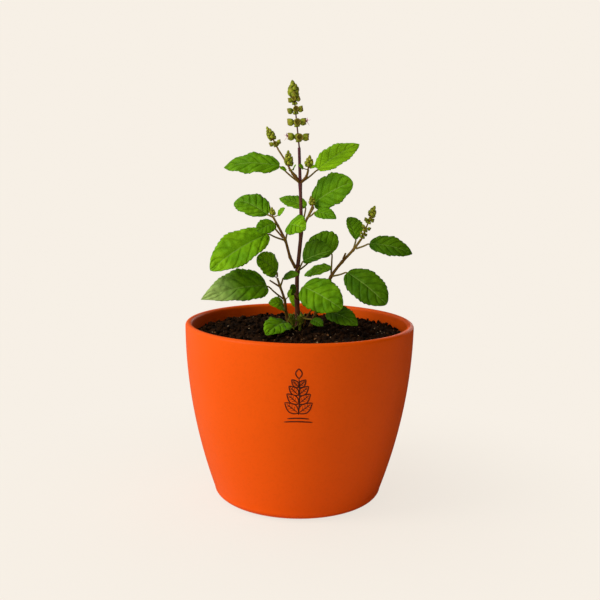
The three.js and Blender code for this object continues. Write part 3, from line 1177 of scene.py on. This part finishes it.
@dataclass
class Leaf:
    """A leaf with its stalk: a toothed, puckered blade on the spine of its frame limb."""

    node: str
    form: LeafForm
    slot: str = "leaf_green"
    stalk_rings: int = 2
    small_length: float = 14 * MM
    row_step: float = 0.42 * MM
    thickness: float = 0.34 * MM
    small_thickness: float = 0.26 * MM
    tooth_spacing: float = 3.5 * MM
    tooth_depth: float = 0.85 * MM
    stalk_radius_limit: float = 0.55 * MM
    tiny_length: float = 8 * MM
    tiny_stalk_radius: float = 0.32 * MM
    stalk_overlap: float = 1.5 * MM
    rib_sink: float = 0.30 * MM
    full_relief_width: float = 20 * MM
    grain_size: float = 3.2 * MM

    def __post_init__(self) -> None:
        """Draw the leaf's own ripples from its name."""
        rng = random.Random(self.node)
        self.waves = rng.uniform(2.2, 3.4)
        self.phase = rng.uniform(0, 1)

    def read(self, frame: dict) -> None:
        """Read the leaf's spine, width and faces from its frame limb."""
        limb = FrameLimb(frame["nodes"][self.node], 6)
        self.start = limb.start
        stalk_end = limb.rings[self.stalk_rings - 1]
        self.foot = self.start + (stalk_end.middle - self.start) / 0.85
        self.tip = limb.end
        self.stalk_radius = limb.rings[0].radius
        blade = limb.rings[self.stalk_rings:]
        widest = max(blade, key=lambda ring: ring.radius)
        pairs = [(a, b) for a in widest.corners for b in widest.corners]
        right, left = max(pairs, key=lambda pair: (pair[0] - pair[1]).length)
        rest = [corner for corner in widest.corners if corner not in (left, right)]
        inner = sum(rest, Vector()) / len(rest)
        edges = (left + right) / 2
        self.middle = 2 * inner - edges
        self.width = (right - left).length
        heading = (self.tip - self.foot).normalized()
        across = (right - left).normalized()
        up = heading.cross(across).normalized()
        if up.dot(edges - inner) < 0:
            across, up = -across, -up
        self.across, self.up = across, up
        self.length = (self.tip - self.foot).length
        part = (self.middle - self.foot).dot(heading) / self.length
        share = 2 * part * (1 - part)
        level = self.middle - (1 - part) ** 2 * self.foot - part**2 * self.tip
        self.control = level / share

    def spine(self, part: float) -> Vector:
        """Give a point on the blade's spine."""
        return (1 - part) ** 2 * self.foot + 2 * part * (1 - part) * self.control + part**2 * self.tip

    def tooth_cut(self, part: float) -> float:
        """Give how far the margin is cut back between its shallow teeth, as a part of the half width."""
        count = max(3.0, self.length / self.tooth_spacing)
        place = part * count + 0.3 * math.sin(9 * part)
        tooth = place - math.floor(place)
        cut = (1 - tooth) ** 1.3 if tooth > 0.12 else tooth / 0.12
        fade = smooth_step(part / 0.15) * smooth_step((1 - part) / 0.06)
        return min(0.12, self.tooth_depth / (self.width / 2)) * cut * fade

    def surface(self, part: float, across: float) -> tuple[Vector, Vector, float]:
        """Work out a spot on the upper face.

        Args:
            part: How far along the blade, from 0 to 1.
            across: How far to the side, from -1 to 1.

        Returns:
            The spot, the direction out of the face, and how near a vein it is, from 0 to 1.
        """
        form = self.form
        turn = Matrix.Rotation(math.radians(form.twist) * part, 3, (self.tip - self.foot).normalized())
        side, up = turn @ self.across, turn @ self.up
        reach = abs(across)
        half = self.width / 2 * form.half_width(part) * (form.left_half if across > 0 else form.right_half)
        half *= 1 - self.tooth_cut(part) * reach**3
        size = min(1.0, self.width / self.full_relief_width)
        gap = LeafVeins.distance(part, across)
        vein = math.exp(-((gap / 0.34) ** 2)) * smooth_step(reach / 0.08)
        rib = math.exp(-((across / 0.07) ** 2))
        inside = smooth_step((1 - reach) / 0.25) * smooth_step(part / 0.08) * smooth_step((1 - part) / 0.12)
        grain = noise.noise(Vector((part * self.length, across * half, self.phase)) / self.grain_size)
        lift = form.pucker * (1 - vein) * smooth_step(reach / 0.22) * (1 + grain) - 0.35 * rib + 0.3 * grain
        wave = math.sin(math.tau * (part * self.waves + self.phase + (0.35 if across > 0 else 0)))
        wave *= form.ripple * half * reach**2.5
        cup = (form.fold * reach - 0.10 * reach * reach) * half
        spot = self.spine(part) + side * across * half + up * (lift * MM * size * inside + wave + cup)
        return spot, up, max(vein, rib)

    def build(self, frame: dict, palette: Palette) -> bpy.types.Object:
        """Build and dress the leaf.

        Args:
            frame: The loaded frame.
            palette: The plant's materials.

        Returns:
            The finished piece.
        """
        self.read(frame)
        small = self.length < self.small_length
        rows = 30 if small else max(48, round(self.length / self.row_step))
        columns = 12 if small else 28
        sketch = Sketch()
        thick = self.small_thickness if small else self.thickness
        first_part = 0.015
        upper, lower = [], []
        for row in range(rows):
            part = first_part + (1 - first_part) * row / rows
            top_row, under_row = [], []
            for column in range(columns + 1):
                across = 2 * column / columns - 1
                across = math.copysign(abs(across) ** 1.12, across)
                spot, up, vein = self.surface(part, across)
                top = sketch.point(spot, part, (across + 1) / 2)
                top_row.append(top)
                if column in (0, columns):
                    under_row.append(top)
                else:
                    deep = thick * (0.55 + 0.9 * vein) * min(1.0, 5 * (1 - abs(across)) + 0.25)
                    under_row.append(sketch.point(spot - up * deep, part, (across + 1) / 2))
            upper.append(top_row)
            lower.append(under_row)
        spot, _, _ = self.surface(1.0, 0.0)
        end = sketch.point(spot, 1.0, 0.5)
        for row in range(rows - 1):
            for column in range(columns):
                a, b = upper[row][column], upper[row][column + 1]
                c, d = upper[row + 1][column + 1], upper[row + 1][column]
                sketch.face((a, d, c, b), 0)
                a, b = lower[row][column], lower[row][column + 1]
                c, d = lower[row + 1][column + 1], lower[row + 1][column]
                sketch.face((a, b, c, d), 1)
        for column in range(columns):
            sketch.face((upper[-1][column], end, upper[-1][column + 1]), 0)
            sketch.face((lower[-1][column], lower[-1][column + 1], end), 1)
            a, b = upper[0][column], upper[0][column + 1]
            c, d = lower[0][column + 1], lower[0][column]
            corners = tuple(dict.fromkeys((a, b, c, d)))
            sketch.face(corners, 1)
        self._stalk(sketch)
        tone = self.form.tone
        skins = [palette.blade[tone], palette.under[tone], palette.petiole]
        piece = sketch.build("grown_" + self.node, skins)
        adopt(piece, self.node)
        return piece

    def _stalk(self, sketch: Sketch) -> None:
        """Add the stalk, which runs on under the blade as its thick rib."""
        heading = (self.foot - self.start).normalized()
        first = self.start - heading * self.stalk_overlap
        usual = min(self.stalk_radius, self.stalk_radius_limit)
        base = usual if self.length > self.tiny_length else self.tiny_stalk_radius
        spots = ((0.03, 0.9), (0.10, 1.0), (0.22, 0.95), (0.4, 0.8), (0.6, 0.6), (0.8, 0.4))
        under = [self.spine(part) - self.up * (share * base + self.rib_sink) for part, share in spots]
        sag = -0.03 * (self.foot - self.start).length
        middle = [
            self.start.lerp(self.foot, t) + UP * sag * math.sin(math.pi * t) for t in (0.0, 0.3, 0.6, 0.9)
        ]
        knots = [first, *middle, *under]
        steps = 3 * (len(knots) - 1)
        line = [through_points(knots, i / steps) for i in range(steps + 1)]
        split = 4.5 / (len(knots) - 1)
        sizes = []
        for i in range(steps + 1):
            part = i / steps
            if part < split:
                thin = 1.15 - 0.25 * part / split
            else:
                thin = 0.9 * (1 - (part - split) / (1 - split)) + 0.12
            sizes.append(base * thin)
        sketch.limb(line, sizes, 10, finish=2)


# --------------------------------------------------------------- flower spikes
@dataclass
class Spike:
    """A flower spike: whorls of seed cups round a thin stalk under a dense cone of buds."""

    node: str
    cups_round: int = 4
    flowers: tuple[tuple[int, int], ...] = ()
    young: bool = False
    slot: str = "seed_cup_olive"
    peak_lift: float = 0.155
    cup_length: float = 4.4 * MM
    cup_stalk_radius: float = 0.34 * MM
    scale_length: float = 2.2 * MM
    bud_spacing: float = 0.52 * MM
    flower_tube: float = 2.4 * MM
    petal_reach: float = 1.5 * MM
    lower_petal_reach: float = 1.9 * MM
    stamen_reach: float = 2.6 * MM
    stamen_radius: float = 0.09 * MM

    def read(self, frame: dict) -> None:
        """Read the stalk's line, the whorls and the cone from the frame limb."""
        limb = FrameLimb(frame["nodes"][self.node], 8)
        self.base, self.tip = limb.start, limb.end
        self.ahead = (self.tip - self.base).normalized()
        self.length = (self.tip - self.base).length
        self.stalk_radius = limb.rings[0].radius
        spots = [((ring.middle - self.base).length / self.length, ring.radius) for ring in limb.rings]
        peaks = [
            b for a, b, c in zip(spots, spots[1:], spots[2:] + [(1.0, 0.0)]) if b[1] > a[1] and b[1] >= c[1]
        ]
        self.whorls = [(part - self.peak_lift * radius / self.length, radius) for part, radius in peaks[:-1]]
        self.cone_start, self.cone_radius = spots[-4][0], peaks[-1][1]

    def cup(self, sketch: Sketch, foot: Vector, ahead: Vector, size: float, rng: random.Random) -> None:
        """Add one seed cup: a stalk, a swollen bell and two lips.

        Args:
            sketch: The spike's sketch.
            foot: Where the cup's stalk ends and the bell starts.
            ahead: The direction that the cup opens in.
            size: The bell's length.
            rng: The seeded source of its unevenness.
        """
        side = ahead.cross(UP)
        side = side.normalized() if side.length > 0.05 else Vector((1, 0, 0))
        up = side.cross(ahead).normalized()
        sides = 12
        outside = ((0.0, 0.14), (0.1, 0.34), (0.3, 0.52), (0.55, 0.57), (0.8, 0.52), (1.0, 0.46))
        inside = ((0.96, 0.38), (0.6, 0.28))
        profile = outside + inside
        rings = []
        lean = rng.uniform(-0.08, 0.08)
        for row, (out, radius) in enumerate(profile):
            ring = []
            for i in range(sides):
                angle = 2 * math.pi * i / sides
                upper_lip = 0.16 * max(0.0, math.sin(angle)) ** 2
                lip = upper_lip - 0.06 * (1 + math.cos(3 * angle)) * (math.sin(angle) < 0)
                push = size * (out + (lip if 4 <= row <= 6 else 0.0))
                wide = size * radius * (1 + 0.06 * math.cos(5 * angle))
                around = side * wide * math.cos(angle) + up * wide * (math.sin(angle) + lean)
                spot = foot + ahead * push + around
                ring.append(sketch.point(spot, min(1.0, row / 5), i / sides))
            rings.append(ring)
        for lower, upper in zip(rings, rings[1:]):
            sketch.band(lower, upper)
        sketch.cap(rings[0], foot - ahead * size * 0.05, 0.0, False)
        sketch.cap(rings[-1], foot + ahead * size * 0.5, 0.6, True)

    def bud(self, sketch: Sketch, foot: Vector, ahead: Vector, size: float) -> None:
        """Add one closed bud or scale, a pointed drop."""
        side = ahead.orthogonal().normalized()
        other = ahead.cross(side)
        rings = []
        for row, radius in enumerate((0.28, 0.50, 0.47, 0.27)):
            ring = []
            for i in range(8):
                angle = math.pi * i / 4
                around = size * radius * (math.cos(angle) * side + math.sin(angle) * other)
                spot = foot + ahead * size * row / 4 + around
                ring.append(sketch.point(spot, row / 4, i / 8))
            rings.append(ring)
        for lower, upper in zip(rings, rings[1:]):
            sketch.band(lower, upper)
        sketch.cap(rings[0], foot - ahead * size * 0.1, 0.0, False)
        sketch.cap(rings[-1], foot + ahead * size * 0.98, 1.0, True)

    def flower(self, sketch: Sketch, foot: Vector, ahead: Vector, rng: random.Random) -> None:
        """Add one small two-lipped flower with its stamens."""
        side = ahead.cross(UP).normalized()
        up = side.cross(ahead).normalized()
        tube = [foot, foot + ahead * 1.4 * MM, foot + ahead * self.flower_tube]
        sketch.limb(tube, [0.35 * MM, 0.5 * MM, 0.8 * MM], 8, 2)
        mouth = foot + ahead * self.flower_tube
        for angle in (20, 65, 115, 160, 270):
            turn = math.radians(angle)
            out = (math.cos(turn) * side + math.sin(turn) * up + 0.5 * ahead).normalized()
            across = ahead.cross(out)
            rows = Matrix((out, across.normalized(), out.cross(across).normalized())).transposed()
            reach = self.lower_petal_reach if angle == 270 else self.petal_reach
            size = Vector((reach, 0.8 * MM, 0.15 * MM))
            sketch.lump(mouth + out * reach * 0.8, size, rows, rng, 2, 4)
        for step in (-1, 1):
            end = mouth + ahead * self.stamen_reach + side * step * 0.6 * MM + up * 0.4 * MM
            stamen = [mouth, mouth.lerp(end, 0.5) + up * 0.2 * MM, end]
            sketch.limb(stamen, [self.stamen_radius] * 3, 6, 2)

    def build(self, frame: dict, palette: Palette) -> bpy.types.Object:
        """Build and dress the spike.

        Args:
            frame: The loaded frame.
            palette: The plant's materials.

        Returns:
            The finished piece.
        """
        self.read(frame)
        rng = random.Random(self.node)
        sketch = Sketch()
        axis = (Vector((1, 0, 0)) - self.ahead.x * self.ahead).normalized()
        other = self.ahead.cross(axis)
        below = self.base - self.ahead * 1.2 * MM
        knots = [below, self.base, self.base.lerp(self.tip, 0.5), self.base.lerp(self.tip, 0.93)]
        steps = 24
        line = [through_points(knots, i / steps) for i in range(steps + 1)]
        sizes = [self.stalk_radius * (1.1 - 0.55 * i / steps) for i in range(steps + 1)]
        sketch.limb(line, sizes, 10, finish=1)
        for row, (part, radius) in enumerate(self.whorls):
            centre = self.base.lerp(self.tip, part)
            size = min(self.cup_length, 0.68 * radius)
            for i in range(self.cups_round):
                angle = 2 * math.pi * i / self.cups_round + rng.uniform(-0.2, 0.2)
                out = math.cos(angle) * axis + math.sin(angle) * other
                tilt = rng.uniform(-0.10, 0.50)
                ahead = (out + self.ahead * tilt).normalized()
                foot = centre + ahead * max(0.2 * MM, radius - 1.05 * size)
                foot = foot + self.ahead * rng.uniform(-0.5, 0.5) * MM
                twig = [centre, centre.lerp(foot, 0.5), foot + ahead * 0.1 * size]
                sketch.limb(twig, [self.cup_stalk_radius] * 3, 8, 1)
                self.cup(sketch, foot, ahead, size, rng)
                if (row, i) in self.flowers:
                    self.flower(sketch, foot + ahead * size * 0.5, ahead, rng)
            for step in (0, math.pi):
                out = math.cos(step) * axis + math.sin(step) * other
                below = centre - self.ahead * 1.0 * MM
                self.bud(sketch, below, (out - 0.5 * self.ahead).normalized(), self.scale_length)
        self._cone(sketch, rng, axis, other)
        skin = palette.bud if self.young else palette.cup
        stalk = palette.stem if self.flowers else palette.branch
        piece = sketch.build("grown_" + self.node, [skin, stalk, palette.petal])
        adopt(piece, self.node)
        return piece

    def _cone(self, sketch: Sketch, rng: random.Random, axis: Vector, other: Vector) -> None:
        """Add the dense cone of buds, wound in a spiral."""
        start = self.base.lerp(self.tip, self.cone_start)
        reach = (self.tip - start).length
        count = max(15, round(reach / self.bud_spacing))
        for i in range(count):
            part = i / count
            angle = i * GOLDEN_TURN
            out = math.cos(angle) * axis + math.sin(angle) * other
            radius = self.cone_radius * math.sin(math.pi * min(0.98, 0.30 + 0.68 * part)) ** 0.8
            size = 1.0 * self.cone_radius * (1 - 0.5 * part)
            ahead = (out * (1.0 - 0.75 * part) + self.ahead * (0.5 + 1.1 * part)).normalized()
            foot = start + self.ahead * (part * (0.96 * reach - 0.8 * size))
            foot = foot + out * max(0.0, radius - 0.75 * size)
            self.bud(sketch, foot, ahead, size * rng.uniform(0.9, 1.1))
        core = [start + self.ahead * reach * t for t in (0.0, 0.3, 0.6, 0.85)]
        sketch.limb(core, [self.cone_radius * s for s in (0.45, 0.55, 0.4, 0.2)], 10, 1)


# ----------------------------------------------------------------------- plant
DEEP, FULL, FRESH, SUNLIT, PALE_TIPPED = LeafToneAndPaintedLight


class Plant:
    """Every grown piece of the holy basil, from the foot to the top spike."""

    # Each form's first value is the leaf's green, partly painted light and shade: shaded leaves get darker
    # greens, lit leaves lighter ones.
    forms: dict[str, LeafForm] = {
        "leaf_top_left": LeafForm(FULL, 0.45, 0.50, 0.85, right_half=0.9, ripple=0.10),
        "leaf_top_right": LeafForm(SUNLIT, 0.42, 0.50, 0.90, fold=0.05, left_half=1.15, pucker=0.2),
        "leaf_upper_right_large": LeafForm(
            FULL, 0.52, 0.44, 0.62, fold=0.06, left_half=1.12, right_half=0.9, ripple=0.09
        ),
        "leaf_upper_right_small": LeafForm(FULL, 0.40, 0.50, 0.85),
        "leaf_upper_left": LeafForm(FRESH, 0.40, 0.50, 0.90),
        "leaf_middle_left_round": LeafForm(FULL, 0.48, 0.50, 0.55, fold=0.16, pucker=0.7),
        "leaf_middle_left_tiny": LeafForm(FRESH),
        "leaf_middle_left_small": LeafForm(FULL, 0.48, 0.45, 0.60),
        "leaf_middle_left_large": LeafForm(FRESH, 0.52, 0.55, 0.78, fold=0.22, ripple=0.08, pucker=0.6),
        "leaf_middle_front": LeafForm(FRESH, 0.42, 0.48, 0.80),
        "leaf_stem_small": LeafForm(DEEP, 0.42, 0.42, 0.72, left_half=1.3, right_half=0.45),
        "leaf_right_upright": LeafForm(FULL, 0.42, 0.38, 0.70, left_half=0.85, right_half=1.2),
        "leaf_right_back": LeafForm(FRESH, 0.48, 0.55, 0.75),
        "leaf_right_dark": LeafForm(DEEP, 0.50, 0.50, 0.66, fold=0.05),
        "leaf_far_right": LeafForm(DEEP, 0.45, 0.52, 0.85),
        "leaf_right_shoot": LeafForm(FULL, 0.55, 0.75, 0.62, left_half=0.5, right_half=1.3),
        "leaf_lower_left_round": LeafForm(FRESH, 0.50, 0.50, 0.58, left_half=1.1, right_half=1.1),
        "leaf_lower_left_small": LeafForm(DEEP, 0.44, 0.50, 0.80),
        "leaf_lower_left_large": LeafForm(
            PALE_TIPPED, 0.30, 0.50, 1.0, fold=0.16, left_half=0.9, right_half=1.15
        ),
        "leaf_base_left": LeafForm(FULL, 0.45, 0.50, 0.72),
        "leaf_base_curled": LeafForm(FRESH),
        "leaf_base_pale": LeafForm(SUNLIT),
        "leaf_base_front": LeafForm(FULL, 0.45, 0.50, 0.72, ripple=0.09),
        "leaf_base_right_small": LeafForm(DEEP),
        "leaf_base_back": LeafForm(DEEP),
        "leaf_base_right": LeafForm(DEEP, 0.42, 0.50, 0.78),
        "leaf_front_large": LeafForm(FULL, 0.45, 0.45, 0.68, fold=0.08, ripple=0.07, pucker=0.6),
        "leaf_front_lobe": LeafForm(FULL, 0.50, 0.50, 0.60),
        "leaf_back_upper": LeafForm(DEEP),
        "leaf_back_lower": LeafForm(DEEP),
    }
    sunk_stems = (
        "main_stem",
        "right_branch",
        "lower_left_branch",
        "base_shoot_front",
        "base_shoot_left",
        "base_twig",
    )
    young_stems = ("base_shoot_front", "base_shoot_left")
    bract_form = LeafForm(FRESH, left_half=1.5, right_half=1.5)
    blooms = {"flower_spike_main": ((0, 2), (1, 0))}
    young_spikes = (
        "flower_bud_upper_right",
        "flower_bud_middle_left",
        "flower_spike_young_left",
        "flower_spike_young_right",
    )

    def __init__(self, frame: dict, palette: Palette) -> None:
        """Keep the frame and the palette."""
        self.frame = frame
        self.palette = palette

    def stem_material(self, node: str) -> bpy.types.Material:
        """Choose a stem's material."""
        if node in self.young_stems:
            return self.palette.young
        return self.palette.stem if node == "main_stem" else self.palette.branch

    def build(self) -> None:
        """Build and dress every grown piece."""
        slots = {part["node"]: part["material_slot"] for part in self.frame["record"]["subparts"]}
        for node, slot in sorted(slots.items()):
            if node in ("pot", "soil"):
                continue
            if slot == "leaf_green":
                plain = self.bract_form if node.startswith("bract") else LeafForm(FRESH)
                Leaf(node, self.forms.get(node, plain)).build(self.frame, self.palette)
            elif slot == "seed_cup_olive":
                spike = Spike(node, flowers=self.blooms.get(node, ()), young=node in self.young_spikes)
                spike.build(self.frame, self.palette)
            else:
                leaflets = 22 if node in self.young_stems else 0
                stem = Stem(node, slot, sunk=node in self.sunk_stems, leaflets=leaflets)
                stem.build(self.frame, self.palette, self.stem_material(node))


# ---------------------------------------------------------------------- studio
@dataclass
class Studio:
    """The pale floor, the soft light and the camera. Lengths in metres."""

    eye_distance: float = 0.600
    eye_elevation: float = 9.1
    eye_roll: float = 0.85
    target_height: float = 0.132
    lens: float = 54.66
    paper: Colour = (0.930, 0.870, 0.790)
    bright_side: tuple[float, float, float] = (-0.86, -0.31, 0.40)
    floor_radius: float = 6.0
    even_light: float = 0.32
    side_light: float = 0.80
    bright_air: Colour = (1.0, 0.985, 0.94)
    dim_air: Colour = (1.0, 0.76, 0.55)

    def paper_material(self) -> bpy.types.Material:
        """Make the pale paper of the floor, even to the eye but with a soft shadow near the pot."""
        material = bpy.data.materials.new("studio_paper")
        material.use_nodes = True
        wire = Wiring(material.node_tree)
        shader = next(n for n in material.node_tree.nodes if n.type == "BSDF_PRINCIPLED")
        grain = wire.spread(wire.noise(40, 3), 0.3, 0.7, 0.985, 1.0)
        tinted = wire.blend(1.0, self.paper, grain, "MULTIPLY")
        wire.feed(shader.inputs["Base Color"], tinted)
        shader.inputs["Roughness"].default_value = 0.95
        shader.inputs["Specular IOR Level"].default_value = 0.0
        glow = wire.node("Emission")
        glow.inputs["Color"].default_value = (*self.paper, 1.0)
        glow.inputs["Strength"].default_value = 1.0
        away = wire.node("VectorMath", operation="LENGTH")
        wire.feed(away.inputs[0], wire.node("TexCoord").outputs["Object"])
        share = wire.spread(away.outputs["Value"], 0.05, 0.26, 0.85, 1.0)
        seen = wire.math("MULTIPLY", wire.node("LightPath").outputs["Is Camera Ray"], share)
        mixed = wire.node("MixShader")
        wire.feed(mixed.inputs[0], seen)
        wire.feed(mixed.inputs[1], shader.outputs[0])
        wire.feed(mixed.inputs[2], glow.outputs[0])
        output = next(n for n in material.node_tree.nodes if n.type == "OUTPUT_MATERIAL")
        wire.feed(output.inputs["Surface"], mixed.outputs[0])
        return material

    def floor(self) -> None:
        """Lay the floor, a wide disc."""
        sketch = Sketch()
        ring = [
            sketch.point(self.floor_radius * Vector((math.cos(a), math.sin(a), 0)))
            for a in (math.tau * i / 64 for i in range(64))
        ]
        sketch.cap(ring, Vector((0, 0, 0)), 0.0, True)
        disc = sketch.build("studio_floor", [self.paper_material()])
        disc.visible_glossy = False

    def world(self) -> None:
        """Light the air round the object from a broad bright side, and show plain paper behind it."""
        world = bpy.data.worlds.new("studio_air")
        world.use_nodes = True
        bpy.context.scene.world = world
        wire = Wiring(world.node_tree)
        back = next(n for n in world.node_tree.nodes if n.type == "BACKGROUND")
        side = wire.node("VectorMath", operation="DOT_PRODUCT")
        wire.feed(side.inputs[0], wire.node("TexCoord").outputs["Generated"])
        side.inputs[1].default_value = self.bright_side
        glow = wire.math("MULTIPLY_ADD", side.outputs["Value"], self.side_light, self.even_light)
        glow = wire.math("MAXIMUM", glow, 0.02)
        seen = wire.node("LightPath").outputs["Is Camera Ray"]
        air = wire.blend(wire.spread(side.outputs["Value"], -0.7, 0.7), self.dim_air, self.bright_air)
        colour = wire.blend(seen, air, self.paper)
        wire.feed(back.inputs["Color"], colour)
        strength = wire.math("MULTIPLY_ADD", seen, wire.math("SUBTRACT", 1.0, glow), glow)
        wire.feed(back.inputs["Strength"], strength)

    def lamp(self, name: str, place: Vector, size: float, power: float, colour: Colour) -> None:
        """Hang a soft square lamp that points at the plant.

        Args:
            name: The lamp's name.
            place: Where it hangs.
            size: The length of its side.
            power: Its power in watts.
            colour: Its colour.
        """
        light = bpy.data.lights.new(name, "AREA")
        light.size = size
        light.energy = power
        light.color = colour
        lamp = bpy.data.objects.new(name, light)
        lamp.location = place
        lamp.rotation_euler = (place - Vector((0, 0, self.target_height))).to_track_quat("Z", "Y").to_euler()
        bpy.context.scene.collection.objects.link(lamp)

    def camera(self) -> None:
        """Set up the camera."""
        data = bpy.data.cameras.new("studio_camera")
        data.sensor_width = 36.0
        data.lens = self.lens
        eye = bpy.data.objects.new("studio_camera", data)
        tilt = math.radians(self.eye_elevation)
        target = Vector((0, 0, self.target_height))
        away = Vector((0, -math.cos(tilt), math.sin(tilt)))
        eye.location = target + self.eye_distance * away
        facing = away.to_track_quat("Z", "Y").to_matrix().to_4x4()
        roll = Matrix.Rotation(math.radians(self.eye_roll), 4, "Z")
        eye.matrix_world = Matrix.Translation(eye.location) @ facing @ roll
        bpy.context.scene.collection.objects.link(eye)
        bpy.context.scene.camera = eye

    def build(self) -> None:
        """Set up the whole studio."""
        bpy.context.scene.view_settings.view_transform = "Standard"
        self.floor()
        self.world()
        self.lamp("key_left", Vector((-1.0, -0.45, 0.75)), 0.5, 9, (1.0, 0.97, 0.92))
        self.lamp("fill_back_right", Vector((0.50, 1.15, 0.45)), 0.7, 3.0, (1.0, 0.97, 0.92))
        self.camera()
        LOG.info("studio: floor, air, two lamps and camera")


def main() -> None:
    """Build the pot, the soil, the plant and the studio."""
    logging.basicConfig(level=logging.INFO, format="%(name)s %(message)s")
    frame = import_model()
    palette = Palette()
    Pot().build(palette)
    Soil().build(palette)
    Plant(frame, palette).build()
    Studio().build()


if __name__ == "__main__":
    main()
